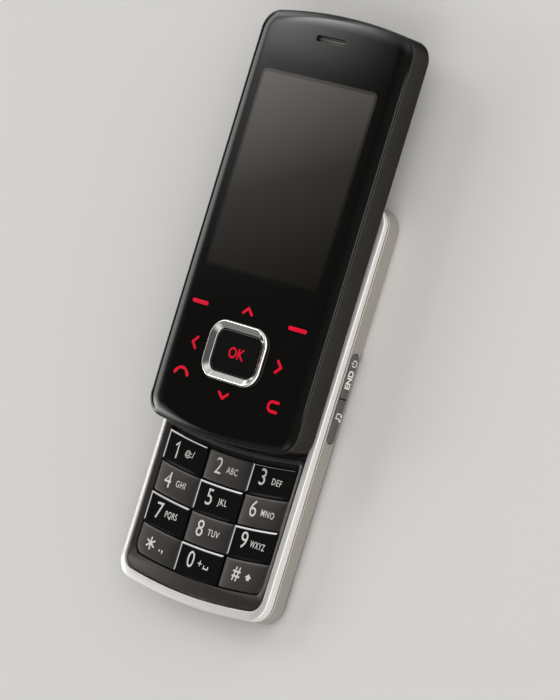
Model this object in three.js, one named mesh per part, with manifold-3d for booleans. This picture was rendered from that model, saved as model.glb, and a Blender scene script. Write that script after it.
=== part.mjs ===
// Slider phone, open, lying on its back. Millimetres.
// X runs across the phone, +Y towards its earpiece end, +Z out of the screen.
// The lower half (base) holds the keypad and the battery, the upper half (slider) the display.
// The origin is under the middle of the open phone, on the plane that its back rests on.
import * as THREE from 'three';
import { mergeVertices } from 'three/addons/utils/BufferGeometryUtils.js';
import Module from 'manifold-3d';

const wasm = await Module();
wasm.setup();

// Outline that both halves share: straight sides, ends bowed outwards, round corners
const bodyWidth = 48;
const bodyLength = 100;
const endBow = 2.1;
const cornerRadius = 5;
const leastCornerRadius = 0.8;

// Clearances: stacked layers, thin foils, pieces side by side, and the overrun of a cut
const layerGap = 0.1;
const foilGap = 0.05;
const sideGap = 0.15;
const overrun = 2;

// Rear housing and battery cover
const rearHeight = 4.3;
const backRound = 1.6;
const rearWall = 1.2;
const rearLip = 0.3;
const rearFloor = 1.0;
const coverThickness = 0.85;
const bayRoof = 0.3;
const bayEndWall = 7.1;
const baySideWall = 0.8;
const bayTopWall = 0.8;
const compartmentLength = 34.8;
const coverLap = 1.5;
const pocketFloor = 0.5;

// Battery and the moulded block over it that holds the card and the battery springs
const batterySideInset = 7;
const simSideInset = 4;
const simLength = 14.8;
const simDepth = 1.6;
const simClearance = 0.3;

// Bright rim
const partingGap = 0.15;
const rimHeight = 1.85;
const rimLift = 0.75;
const rimSide = 1.35;
const rimEnd = 2.1;
const rimRound = 0.35;

// Main board, dome sheet and keypad mat
const boardThickness = 0.55;
const domeSheetThickness = 0.1;
const domeHeight = 0.25;
const domeRadius = 2.2;
const domeTopRadius = 1.0;
const matThickness = 0.25;
const matMargin = 0.8;

// Keys: three columns and four bowed rows inside the bezel
const keyRows = 4;
const keyPitch = 7.4;
const keyHeight = 0.9;
const keyTravel = 0.3;
const keyGap = 0.25;
const keyChamfer = 0.25;
const keyFace = 1.5;
const keyRise = 0.12;
const keyDish = 0.2;
const keyCorner = 0.35;
const keyBlockCorner = 2.5;
const keySink = 0.1;
const centreColumnShare = 0.345;
const leastCornerShare = 0.25;

// Bezel round the keys and the deck above it
const bezelSide = 1.75;
const bezelBottom = 3.9;
const bezelTopBar = 2.0;
const slideEndGap = 0.2;
const deckSink = 0.7;
const deckThickness = 0.95;

// Side keys, volume rocker and their switch boards
const sideKeyRise = 1.6;
const sideKeyDrop = 0.4;
const sideKeyProud = 0.3;
const sideKeyTravel = 0.25;
const sideKeyFlange = 0.4;
const sideKeyFlangeReach = 0.6;
const sideKeySlotLength = 20.9;
const sideKeyEndShare = 0.51;
const sideKeySlotRise = 0.3;
const rockerLength = 18;
const rockerDrop = 11.3;
const rockerSwitchInset = 3;
const rockerFlangeGap = 0.3;
const switchBoardThickness = 0.4;
const switchRadius = 0.6;
const sidePocketReach = 1.8;

// Charge socket and its cap
const socketLength = 9;
const socketDepth = 6;
const socketLap = 0.2;
const socketWall = 0.45;
const socketEndWall = 0.8;
const socketSetBack = 0.1;
const socketBackWall = 0.8;
const capLength = 11;
const capTongue = 1.6;
const socketRise = 9.5;

// Speaker, microphone, shield can and antenna in the base
const speakerRadius = 6.5;
const speakerSideGap = 7.3;
const speakerRise = 8;
const grilleSlots = 5;
const grillePitch = 1.7;
const grilleSlotWidth = 0.8;
const grilleSlotLength = 7;
const microphoneRadius = 2;
const microphoneHeight = 1.65;
const microphonePlace = 8;
const microphoneInset = 3.5;
const shieldHeight = 1.45;
const shieldInset = 2.7;
const shieldSocketGap = 2.6;
const shieldSpeakerGap = 2;
const shieldAntennaGap = 4;
const antennaScrewGap = 3.1;
const antennaWidth = 4;
const antennaInset = 1.9;

// Case screws, from the back into the bezel and the deck
const caseScrewHeadRadius = 1.4;
const caseScrewHeadHeight = 0.8;
const caseScrewRadius = 0.7;
const caseScrewBite = 0.6;
const caseScrewLowSide = 7.5;
const caseScrewLowInset = 4.6;
const caseScrewHighSide = 4.5;
const caseScrewHighInset = 7.1;
const screwClearance = 0.2;

// Slide plate with turned-up edges, fixed to the deck
const slidePlateSide = 7.2;
const slidePlateLength = 19;
const slidePlateInset = 4.6;
const slidePlateThickness = 0.4;
const slideFlange = 2.4;

// Rails in the upper half
const railLip = 0.25;
const railGroove = 0.6;
const railTopLip = 0.45;
const railWeb = 0.75;
const railPlay = 0.1;
const slotClearance = 0.3;
const slotEndClearance = 0.5;

// Upper half: side wall, back cover and panel
const slideClearance = 0.67;
const frameWall = 1.3;
const frameChamfer = 0.25;
const backCoverThickness = 0.6;
const panelGap = 0.08;
const panelRise = 2.0;
const panelInset = 0.1;
const panelRound = 1.1;
const panelEdgeDrop = 0.77;
const crownRadius = 235;
const pillowDrop = 0.6;
const pillowLength = 14;

// OK key and its bright ring
const okPlace = 20;
const ringWidth = 18.3;
const ringHeight = 13.8;
const ringCorner = 4.4;
const ringBand = 1.9;
const ringLap = 0.5;
const ringProud = 0.7;
const ringRim = 0.23;
const okSink = 0.2;
const okTravel = 0.3;
const okKeyGap = 0.15;

// Earpiece slot, mesh and receiver
const earpiecePlace = 6.2;
const earpieceLength = 9.3;
const earpieceHeight = 1.5;
const earpieceMeshSink = 0.8;
const earpieceMeshThickness = 0.3;
const receiverCameraGap = 1;
const receiverLength = 5;
const receiverHeight = 2.2;

// Display, boards and motor in the upper half
const displaySideGap = 2.7;
const displayTouchGap = 2.6;
const displayThickness = 2.3;
const displayDrop = 12.4;
const displayGap = 0.3;
const sliderBoardInset = 1;
const sliderBoardReach = 3;
const sliderBoardThickness = 0.5;
const sliderBoardHeadroom = 0.33;
const touchBoardLength = 29;
const touchBoardThickness = 0.5;
const touchBoardInset = 4;
const touchBoardDrop = 0.5;
const okDomeHeight = 0.25;
const okDomeRadius = 2;
const okDomeTopRadius = 1;
const motorRadius = 5;
const motorHeight = 2.7;
const motorSlotGap = 0.3;
const motorBoardGap = 4.6;

// Camera on the back of the upper half
const cameraSize = 7;
const cameraHeadroom = 0.43;
const cameraSlotGap = 0.6;
const cameraDisplayGap = 0.3;
const cameraBarrelRadius = 2.6;
const cameraWindowRadius = 2.9;
const cameraWindowThickness = 0.2;

// Screws that hold the upper half's back cover
const backScrewHeadRadius = 1.2;
const backScrewHeadHeight = 0.3;
const backScrewRadius = 0.6;
const backScrewLength = 1.7;
const backScrewSink = 0.05;
const bossRadius = 1.8;
const bossHeight = 2.0;
const bossWallLap = 0.3;
const bossHighX = 5.2;
const bossLowRise = 7;

// Wire spring of the slide
const springWire = 0.25;
const postRadius = 0.8;
const springEye = 1.2;
const springPostX = 8;
const springPostRise = 4.5;
const postClearance = 0.25;

// Flat cable between the halves
const flexWidth = 8;
const flexThickness = 0.15;
const flexSlotWidth = 1.8;
const flexStart = 5.2;
const flexReturn = 3;
const flexTurnClearance = 2.5;
const flexTail = 1.2;

// Facets of round shapes
const cornerSteps = 4;
const endSteps = 8;
const keySteps = 3;
const roundSteps = 3;
const screwSides = 10;
const roundSides = 24;
const springSides = 6;
const springSteps = 70;

// Heights, from the back upwards
const coverTop = coverThickness + layerGap;
const bayCeiling = rearHeight - bayRoof;
const lipHigh = rearHeight + rearLip;
const rimBottom = lipHigh + partingGap;
const rimTop = rimBottom + rimHeight;
const boardLow = rearHeight + layerGap;
const boardHigh = boardLow + boardThickness;
const sheetLow = boardHigh + foilGap;
const sheetHigh = sheetLow + domeSheetThickness;
const matLow = sheetHigh + domeHeight + foilGap;
const matHigh = matLow + matThickness;
const keyLow = matHigh + keyTravel + foilGap;
const keyHigh = keyLow + keyHeight;
const bezelHigh = keyHigh + keySink;
const deckHigh = bezelHigh - deckSink;
const deckLow = deckHigh - deckThickness;
const platLow = deckHigh + foilGap;
const platHigh = platLow + slidePlateThickness;
const sliderLow = bezelHigh + slideClearance;
const coverHigh = sliderLow + backCoverThickness;
const railLow = coverHigh + layerGap;
const grooveLow = railLow + railLip;
const grooveHigh = grooveLow + railGroove;
const railHigh = grooveHigh + railTopLip;
const flangeHigh = grooveHigh - railPlay;
const sliderBoardLow = railHigh + sliderBoardHeadroom;
const displayLow = sliderBoardLow + sliderBoardThickness + layerGap;
const panelLow = displayLow + displayThickness + displayGap;
const panelHigh = panelLow + panelRise;
const frameHigh = panelLow - panelGap;

// Lengths along the phone; the upper half slides as far as it takes to bare the keypad
const keypadLength = keyRows * keyPitch;
const slideTravel = rimEnd + bezelBottom + keypadLength + bezelTopBar + slideEndGap;
const baseCentre = -slideTravel / 2;
const sliderCentre = slideTravel / 2;
const baseBottom = baseCentre - bodyLength / 2;
const baseTop = baseCentre + bodyLength / 2;
const sliderBottom = sliderCentre - bodyLength / 2;
const sliderTop = sliderCentre + bodyLength / 2;
const compartmentBottom = baseTop - compartmentLength;
const bayBottom = baseBottom + bayEndWall;
const bayTop = compartmentBottom - bayTopWall;
const batteryBottom = bayBottom + 2 * sideGap;
const simTop = bayTop - simClearance;
const simBottom = simTop - simLength;
const coverEdge = bayTop + coverLap;
const keysBottom = baseBottom + rimEnd + bezelBottom;
const keysTop = keysBottom + keypadLength;
const deckEdge = keysTop + bezelTopBar;
const plateTop = baseTop - slidePlateInset;
const plateBottom = plateTop - slidePlateLength;
const antennaTop = baseTop - rearWall - antennaInset;
const antennaBottom = antennaTop - antennaWidth;
const touchBoardBottom = sliderBottom + touchBoardInset;
const touchBoardTop = touchBoardBottom + touchBoardLength;
const displayBottom = touchBoardTop + displayTouchGap;
const displayTop = sliderTop - displayDrop;
const sliderBoardBottom = displayBottom - sliderBoardReach;
const motorY = sliderBoardBottom - motorBoardGap - motorRadius;
const cameraY = displayTop + cameraDisplayGap + cameraSize / 2;

// Widths across the phone
const halfWidth = bodyWidth / 2;
const endRadius = (halfWidth * halfWidth + endBow * endBow) / (2 * endBow);
const keysHalfWidth = halfWidth - rimSide - bezelSide;
const columnEdge = keysHalfWidth * centreColumnShare;
const wallInner = halfWidth - rearWall;
const batteryHalfWidth = halfWidth - batterySideInset;
const bayHalfWidth = batteryHalfWidth + 2 * sideGap;
const simHalfWidth = batteryHalfWidth - simSideInset;
const caseScrewLowX = halfWidth - caseScrewLowSide;
const caseScrewHighX = halfWidth - caseScrewHighSide;
const antennaHalfLength = caseScrewHighX - caseScrewHeadRadius - antennaScrewGap;
const speakerX = wallInner - speakerSideGap - speakerRadius;
const socketFace = -(wallInner - layerGap - socketSetBack);
const neckOuter = halfWidth - slidePlateSide;
const neckInner = neckOuter - slidePlateThickness;
const slotInner = neckInner - slotClearance;
const displayHalfWidth = halfWidth - frameWall - displaySideGap;
const sliderBoardHalfWidth = displayHalfWidth - sliderBoardInset;
const motorX = -(slotInner - motorSlotGap - motorRadius);
const cameraX = -(slotInner - cameraSlotGap - cameraSize / 2);
const receiverHalfWidth = -cameraX - cameraSize / 2 - receiverCameraGap;

// Colours of the finishes
const satinBlack = { color: 0x2b2928, roughness: 0.45, metalness: 0.2 };
const satinGrey = { color: 0x55524f, roughness: 0.35, metalness: 0.6 };
const glossBlack = { color: 0x0a0a0b, roughness: 0.05, metalness: 0 };
const brightMetal = { color: 0xe2e0dc, roughness: 0.08, metalness: 1 };
const darkKey = { color: 0x141313, roughness: 0.25, metalness: 0 };
const lightKey = { color: 0x3c3a38, roughness: 0.3, metalness: 0 };
const circuitGreen = { color: 0x1d4a2c, roughness: 0.5, metalness: 0 };
const springSteel = { color: 0xb4b4b0, roughness: 0.35, metalness: 1 };
const silicone = { color: 0x8c8a86, roughness: 0.7, metalness: 0 };
const batteryGrey = { color: 0x3a3d42, roughness: 0.5, metalness: 0 };
const partBlack = { color: 0x161616, roughness: 0.5, metalness: 0 };
const copperFoil = { color: 0xb87333, roughness: 0.4, metalness: 1 };
const lensGlass = { color: 0x101418, roughness: 0.03, metalness: 0 };

const phone = new THREE.Group();
phone.name = 'slider_phone';

// A closed solid from a three.js geometry
function solid(geometry) {
  geometry.deleteAttribute('normal');
  geometry.deleteAttribute('uv');
  const merged = mergeVertices(geometry);
  const vertProperties = new Float32Array(merged.attributes.position.array);
  const triVerts = new Uint32Array(merged.index.array);
  return new wasm.Manifold(new wasm.Mesh({ numProp: 3, vertProperties, triVerts }));
}

// A named mesh from a solid, added to the phone
function addPart(name, shape, finish) {
  const mesh = shape.getMesh();
  const geometry = new THREE.BufferGeometry();
  const vertices = new Float32Array(mesh.vertProperties);
  geometry.setAttribute('position', new THREE.BufferAttribute(vertices, 3));
  geometry.setIndex(new THREE.BufferAttribute(new Uint32Array(mesh.triVerts), 1));
  geometry.computeVertexNormals();
  const piece = new THREE.Mesh(geometry, new THREE.MeshStandardMaterial(finish));
  piece.name = name;
  phone.add(piece);
}

function joined(shapes) {
  return shapes.reduce((whole, shape) => whole.add(shape));
}

function without(shape, cutters) {
  return cutters.reduce((left, cutter) => left.subtract(cutter), shape);
}

// Rings of points joined by a skin; an open loft is capped, a closed one returns to its first ring.
// The rings turn counter-clockwise about the axis that they follow.
function loft(rings, axis = 'z', closed = false) {
  const count = rings[0].length;
  const index = [];
  const spans = closed ? rings.length : rings.length - 1;
  for (let span = 0; span < spans; span += 1) {
    const low = span * count;
    const high = ((span + 1) % rings.length) * count;
    for (let i = 0; i < count; i += 1) {
      const next = (i + 1) % count;
      index.push(low + i, low + next, high + next);
      index.push(low + i, high + next, high + i);
    }
  }
  if (!closed) {
    const last = (rings.length - 1) * count;
    capFaces(rings[0], axis).forEach(([a, b, c]) => index.push(c, b, a));
    capFaces(rings[rings.length - 1], axis).forEach((face) => index.push(...face.map((i) => last + i)));
  }
  const geometry = new THREE.BufferGeometry();
  geometry.setAttribute('position', new THREE.Float32BufferAttribute(rings.flat(2), 3));
  geometry.setIndex(index);
  return solid(geometry);
}

function capFaces(ring, axis) {
  const flat = {
    x: ([, y, z]) => new THREE.Vector2(y, z),
    y: ([x, , z]) => new THREE.Vector2(z, x),
    z: ([x, y]) => new THREE.Vector2(x, y),
  };
  return THREE.ShapeUtils.triangulateShape(ring.map(flat[axis]), []);
}

// A flat outline at one height, or at the height that a function gives
function ringAt(points, height) {
  return points.map(([x, y]) => [x, y, typeof height === 'function' ? height(x, y) : height]);
}

function plate(points, low, high) {
  return loft([ringAt(points, low), ringAt(points, high)]);
}

// An outline in y and z carried along x
function barAcross(points, low, high) {
  return loft([low, high].map((x) => points.map(([y, z]) => [x, y, z])), 'x');
}

// An outline in z and x carried along y
function barAlong(points, low, high) {
  return loft([low, high].map((y) => points.map(([z, x]) => [x, y, z])), 'y');
}

function block([x0, x1], [y0, y1], [z0, z1]) {
  const geometry = new THREE.BoxGeometry(x1 - x0, y1 - y0, z1 - z0);
  geometry.translate((x0 + x1) / 2, (y0 + y1) / 2, (z0 + z1) / 2);
  return solid(geometry);
}

// An upright round bar
function rod(x, y, radius, low, high, sides = screwSides, topRadius = radius) {
  const geometry = new THREE.CylinderGeometry(topRadius, radius, high - low, sides);
  geometry.rotateX(Math.PI / 2);
  geometry.translate(x, y, (low + high) / 2);
  return solid(geometry);
}

// Points on an arc, both ends included
function arc(centreX, centreY, radius, from, to, steps) {
  const points = [];
  for (let i = 0; i <= steps; i += 1) {
    const angle = from + (to - from) * i / steps;
    points.push([centreX + radius * Math.cos(angle), centreY + radius * Math.sin(angle)]);
  }
  return points;
}

// The shared outline, drawn in by one amount at the sides and another at the ends
function bodyOutline(centre, sideInset = 0, endInset = sideInset) {
  const width = halfWidth - sideInset;
  const length = bodyLength / 2 - endInset;
  const bend = endRadius - endInset;
  const corner = Math.max(cornerRadius - sideInset, leastCornerRadius);
  const bendCentre = length - bend;
  const cornerX = width - corner;
  const cornerY = bendCentre + Math.sqrt((bend - corner) ** 2 - cornerX ** 2);
  const turn = Math.atan2(cornerY - bendCentre, cornerX);
  const end = [
    ...arc(cornerX, cornerY, corner, 0, turn, cornerSteps),
    ...arc(0, bendCentre, bend, turn, Math.PI - turn, endSteps).slice(1, -1),
    ...arc(-cornerX, cornerY, corner, Math.PI - turn, Math.PI, cornerSteps),
  ];
  return [...end, ...end.map(([x, y]) => [-x, -y])].map(([x, y]) => [x, y + centre]);
}

// Height of the bowed ends' curve above its middle
function bow(x) {
  return endRadius - Math.sqrt(endRadius ** 2 - x ** 2);
}

// A field between two bowed edges, with a radius for each corner
function bowedField([x0, x1], [y0, y1], radii, steps, turnSteps = 1) {
  const edge = (from, to, y) => {
    const points = [];
    for (let i = 1; i < steps; i += 1) {
      const x = from + (to - from) * i / steps;
      points.push([x, y + bow(x)]);
    }
    return points;
  };
  const [lowLeft, lowRight, highRight, highLeft] = radii;
  const quarter = Math.PI / 2;
  const corner = (x, y, radius, from) => arc(x, y, radius, from, from + quarter, turnSteps);
  return [
    ...corner(x0 + lowLeft, y0 + bow(x0 + lowLeft) + lowLeft, lowLeft, Math.PI),
    ...edge(x0 + lowLeft, x1 - lowRight, y0),
    ...corner(x1 - lowRight, y0 + bow(x1 - lowRight) + lowRight, lowRight, 3 * quarter),
    ...corner(x1 - highRight, y1 + bow(x1 - highRight) - highRight, highRight, 0),
    ...edge(x1 - highRight, x0 + highLeft, y1),
    ...corner(x0 + highLeft, y1 + bow(x0 + highLeft) - highLeft, highLeft, quarter),
  ];
}

// A rectangle with round corners
function roundedBox([x0, x1], [y0, y1], radius, steps = cornerSteps) {
  const quarter = Math.PI / 2;
  return [
    ...arc(x1 - radius, y1 - radius, radius, 0, quarter, steps),
    ...arc(x0 + radius, y1 - radius, radius, quarter, 2 * quarter, steps),
    ...arc(x0 + radius, y0 + radius, radius, 2 * quarter, 3 * quarter, steps),
    ...arc(x1 - radius, y0 + radius, radius, 3 * quarter, 4 * quarter, steps),
  ];
}

// A pill lying along its first axis; either end can be square
function pill([u0, u1], [v0, v1], roundLow = true, roundHigh = true) {
  const radius = (v1 - v0) / 2;
  const middle = (v0 + v1) / 2;
  const quarter = Math.PI / 2;
  const squareHigh = [[u1, v0], [u1, v1]];
  const squareLow = [[u0, v1], [u0, v0]];
  const high = roundHigh ? arc(u1 - radius, middle, radius, -quarter, quarter, cornerSteps) : squareHigh;
  const low = roundLow ? arc(u0 + radius, middle, radius, quarter, 3 * quarter, cornerSteps) : squareLow;
  return [...high, ...low];
}

// Where the case screws stand
const caseScrewPlaces = [
  [-caseScrewLowX, baseBottom + caseScrewLowInset],
  [caseScrewLowX, baseBottom + caseScrewLowInset],
  [-caseScrewHighX, baseTop - caseScrewHighInset],
  [caseScrewHighX, baseTop - caseScrewHighInset],
];

// Where the screws of the upper half's back cover stand, beside the side wall
const bossHighY = sliderTop - bow(bossHighX) - frameWall - bossRadius + bossWallLap;
const bossLowX = halfWidth - frameWall - bossRadius + bossWallLap;
const backScrewPlaces = [
  [-bossLowX, sliderBottom + bossLowRise],
  [bossLowX, sliderBottom + bossLowRise],
  [-bossHighX, bossHighY],
  [bossHighX, bossHighY],
];

// Heights and lengths of the side keys
const sideKeyHighZ = rearHeight - sideKeyDrop;
const sideKeyLowZ = sideKeyRise;
const sideKeyMiddle = (sideKeyHighZ + sideKeyLowZ) / 2;
const sideSlotTop = compartmentBottom + sideKeySlotRise;
const sideSlotBottom = sideSlotTop - sideKeySlotLength;
const sideKeySplit = sideSlotBottom + sideKeySlotLength * (1 - sideKeyEndShare);
const rockerTop = compartmentBottom - rockerDrop + rockerLength / 2;
const rockerBottom = rockerTop - rockerLength;
const pocketInner = bayHalfWidth + baySideWall;
const pocketLow = sideKeyLowZ - sideGap;

// Back shell of the base, before its cover is parted off
function rearShell() {
  const rings = [];
  for (let i = 0; i <= roundSteps; i += 1) {
    const angle = Math.PI / 2 * i / roundSteps;
    const drawnIn = backRound * (1 - Math.sin(angle));
    rings.push(ringAt(bodyOutline(baseCentre, drawnIn), backRound * (1 - Math.cos(angle))));
  }
  rings.push(ringAt(bodyOutline(baseCentre), lipHigh));
  return loft(rings);
}

function sideKeyWindow(side, [low, high], clearance) {
  const field = pill(
    [low - clearance, high + clearance],
    [sideKeyLowZ - clearance, sideKeyHighZ + clearance],
  );
  const inner = side * (wallInner - overrun);
  const outer = side * (halfWidth + overrun);
  return barAcross(field, Math.min(inner, outer), Math.max(inner, outer));
}

const capMiddle = compartmentBottom + socketRise;
const capRange = [capMiddle - capLength / 2, capMiddle + capLength / 2];

function rearHousing() {
  const wide = [-bodyWidth, bodyWidth];
  const underCover = block(wide, [baseBottom - overrun, coverEdge], [-overrun, coverTop]);
  const bay = block([-bayHalfWidth, bayHalfWidth], [bayBottom, bayTop], [-overrun, bayCeiling]);
  const inside = plate(bodyOutline(baseCentre, rearWall), rearFloor, rearHeight + overrun);
  const insideLip = plate(bodyOutline(baseCentre, rearWall), rearHeight, lipHigh + overrun);
  const allHeights = [-overrun, rearHeight + 2 * overrun];
  const upperHalf = block(wide, [compartmentBottom, baseTop + overrun], allHeights);
  const stepRange = [compartmentBottom - overrun, coverEdge + pocketFloor];
  const stepUnderCover = block(wide, stepRange, [-overrun, pocketLow]);
  const upperRoom = inside.intersect(upperHalf).subtract(stepUnderCover);
  const pocketEnd = Math.min(sideSlotBottom, rockerBottom) - sidePocketReach;
  const pockets = [-1, 1].map((side) => block(
    [Math.min(side * pocketInner, side * wallInner), Math.max(side * pocketInner, side * wallInner)],
    [pocketEnd, compartmentBottom + overrun],
    [pocketLow, rearHeight + overrun],
  ));
  const headSeat = coverTop + caseScrewHeadHeight + screwClearance;
  const screwHoles = caseScrewPlaces.flatMap(([x, y]) => [
    rod(x, y, caseScrewHeadRadius + screwClearance, -overrun, headSeat),
    rod(x, y, caseScrewRadius + screwClearance, -overrun, rearHeight + overrun),
  ]);
  const microphoneRoom = rod(
    microphonePlace, baseBottom + microphoneInset, microphoneRadius + sideGap,
    rearHeight - microphoneHeight - layerGap, rearHeight + overrun, roundSides / 2,
  );
  const grille = [];
  for (let i = 0; i < grilleSlots; i += 1) {
    const x = speakerX + grillePitch * (i - (grilleSlots - 1) / 2);
    const y = compartmentBottom + speakerRise;
    grille.push(block(
      [x - grilleSlotWidth / 2, x + grilleSlotWidth / 2],
      [y - grilleSlotLength / 2, y + grilleSlotLength / 2],
      [-overrun, rearFloor + layerGap],
    ));
  }
  const windows = [
    sideKeyWindow(1, [sideSlotBottom, sideSlotTop], sideGap),
    sideKeyWindow(-1, [rockerBottom, rockerTop], sideGap),
    sideKeyWindow(-1, capRange, sideGap),
  ];
  return without(rearShell(), [
    underCover, insideLip, bay, upperRoom, ...pockets, ...screwHoles, microphoneRoom, ...grille, ...windows,
  ]);
}

function batteryCover() {
  return rearShell().intersect(
    block([-bodyWidth, bodyWidth], [baseBottom - overrun, coverEdge - sideGap], [-overrun, coverThickness]),
  );
}

function battery() {
  return block(
    [-batteryHalfWidth, batteryHalfWidth],
    [batteryBottom, simBottom - simClearance],
    [coverTop + layerGap, bayCeiling - layerGap],
  );
}

function simHolder() {
  const high = bayCeiling - layerGap;
  return block([-simHalfWidth, simHalfWidth], [simBottom, simTop], [high - simDepth, high]);
}

// Height of the rim's front: it rises towards the keypad end
function rimFace(drop) {
  return (x, y) => rimTop + rimLift * (baseTop - y) / bodyLength - drop;
}

// Bright rim: a band with softened front edges
function chromeRim() {
  const outline = (side, end) => bodyOutline(baseCentre, side, end);
  return loft([
    ringAt(outline(0, 0), rimBottom),
    ringAt(outline(0, 0), rimFace(rimRound)),
    ringAt(outline(rimRound, rimRound), rimFace(0)),
    ringAt(outline(rimSide - rimRound / 2, rimEnd - rimRound / 2), rimFace(0)),
    ringAt(outline(rimSide, rimEnd), rimFace(rimRound / 2)),
    ringAt(outline(rimSide, rimEnd), rimBottom),
  ], 'z', true);
}

function insideRim(clearance) {
  return bodyOutline(baseCentre, rimSide + clearance, rimEnd + clearance);
}

function mainBoard() {
  const holes = caseScrewPlaces.map(([x, y]) => (
    rod(x, y, caseScrewRadius + screwClearance, boardLow - overrun, boardHigh + overrun)
  ));
  return without(plate(insideRim(2 * sideGap), boardLow, boardHigh), holes);
}

function keyRange(column) {
  const edges = [-keysHalfWidth, -columnEdge, columnEdge, keysHalfWidth];
  return [edges[column], edges[column + 1]];
}

function rowRange(row) {
  const top = keysTop - row * keyPitch;
  return [top - keyPitch, top];
}

function keyCentre(column, row) {
  const [x0, x1] = keyRange(column);
  const [y0, y1] = rowRange(row);
  const x = (x0 + x1) / 2;
  return [x, (y0 + y1) / 2 + bow(x)];
}

// Field of the whole keypad, grown by a margin
function keyField(margin, corner) {
  return bowedField(
    [-keysHalfWidth - margin, keysHalfWidth + margin],
    [keysBottom - margin, keysTop + margin],
    [corner, corner, keyCorner, keyCorner],
    endSteps,
    cornerSteps,
  );
}

function domeSheet() {
  const sheet = plate(keyField(0, keyBlockCorner), sheetLow, sheetHigh);
  const domes = [];
  for (let row = 0; row < keyRows; row += 1) {
    for (let column = 0; column < 3; column += 1) {
      const [x, y] = keyCentre(column, row);
      domes.push(rod(x, y, domeRadius, sheetLow, sheetHigh + domeHeight, screwSides, domeTopRadius));
    }
  }
  return joined([sheet, ...domes]);
}

function keypadMat() {
  return plate(keyField(matMargin, keyBlockCorner + matMargin), matLow, matHigh);
}

// One key: a bowed field with a chamfer and a face that rises or dips
function keyCap(column, row, dished) {
  const [x0, x1] = keyRange(column);
  const [y0, y1] = rowRange(row);
  const low = row === keyRows - 1;
  const turnSteps = low && column !== 1 ? cornerSteps : 1;
  const field = (inset) => {
    const small = Math.max(keyCorner - inset, keyCorner * leastCornerShare);
    const large = keyBlockCorner - inset;
    const gap = keyGap / 2 + inset;
    const lowLeft = low && column === 0 ? large : small;
    const lowRight = low && column === 2 ? large : small;
    const corners = [lowLeft, lowRight, small, small];
    return bowedField([x0 + gap, x1 - gap], [y0 + gap, y1 - gap], corners, keySteps, turnSteps);
  };
  const face = dished ? keyHigh - keyDish : keyHigh;
  const edge = dished ? keyHigh : keyHigh - keyRise;
  return loft([
    ringAt(field(0), keyLow),
    ringAt(field(0), edge - keyChamfer),
    ringAt(field(keyChamfer), edge),
    ringAt(field(keyFace), face),
  ]);
}

// The whole width between two bowed lines across the base
function acrossBase(from, to, low, high) {
  const corners = [keyCorner, keyCorner, keyCorner, keyCorner];
  return plate(bowedField([-halfWidth, halfWidth], [from, to], corners, endSteps), low, high);
}

function caseScrewHoles() {
  const radius = caseScrewRadius + screwClearance;
  const high = boardHigh + caseScrewBite + 3 * layerGap;
  return caseScrewPlaces.map(([x, y]) => rod(x, y, radius, boardHigh - overrun, high));
}

function keypadBezel() {
  const lowHalf = acrossBase(baseBottom - bodyWidth, deckEdge, boardHigh, bezelHigh + overrun);
  const ring = plate(insideRim(layerGap), boardHigh + layerGap, bezelHigh).intersect(lowHalf);
  const matField = keyField(matMargin + sideGap, keyBlockCorner + matMargin);
  return without(ring, [
    plate(keyField(layerGap, keyBlockCorner), boardHigh - overrun, bezelHigh + overrun),
    plate(matField, boardHigh - overrun, matHigh + layerGap),
    ...caseScrewHoles(),
  ]);
}

// Where the flat cable passes the deck and the upper half's back cover
const flexDeckY = deckEdge + flexStart;
const flexTurnY = plateBottom - flexTurnClearance;
const flexCoverY = flexTurnY - flexReturn;

function flexSlot(y, low, high) {
  return block(
    [-flexWidth / 2 - 2 * sideGap, flexWidth / 2 + 2 * sideGap],
    [y - flexSlotWidth / 2, y + flexSlotWidth / 2],
    [low - overrun, high + overrun],
  );
}

function baseDeck() {
  const from = deckEdge + sideGap;
  const highHalf = acrossBase(from, baseTop + bodyWidth, deckLow - overrun, deckHigh + overrun);
  return without(plate(insideRim(layerGap), deckLow, deckHigh).intersect(highHalf), [
    flexSlot(flexDeckY, deckLow, deckHigh),
    ...caseScrewHoles(),
  ]);
}

function caseScrew([x, y]) {
  const headLow = coverTop + foilGap;
  const headHigh = headLow + caseScrewHeadHeight;
  return joined([
    rod(x, y, caseScrewHeadRadius, headLow, headHigh),
    rod(x, y, caseScrewRadius, headHigh - foilGap, boardHigh + caseScrewBite + layerGap),
  ]);
}

// Steel plate with edges turned up and out, and the post that carries the spring
const flangeOuter = neckInner + slideFlange;
const flangeLow = flangeHigh - slidePlateThickness;
const springBase = [-springPostX, plateBottom + springPostRise];
const springSlider = [springPostX, springBase[1] + slideTravel / 2];

function slidePlate() {
  const half = [
    [platLow, neckOuter],
    [flangeLow, neckOuter],
    [flangeLow, flangeOuter],
    [flangeHigh, flangeOuter],
    [flangeHigh, neckInner],
    [platHigh, neckInner],
  ];
  const profile = [...half.map(([z, x]) => [z, -x]), ...[...half].reverse()];
  const post = rod(...springBase, postRadius, platLow, sliderLow - postClearance, screwSides);
  return joined([barAlong(profile, plateBottom, plateTop), post]);
}

// Wire spring: an eye round each post and an S between them, flat in the gap.
// The S passes through shares of the way from one post to the other, across and along.
const springWayShares = [
  [0.5, -0.12], [0.92, 0.04], [0.82, 0.34], [0.3, 0.5], [0.05, 0.7], [0.2, 0.98], [0.55, 1.08],
];

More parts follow.
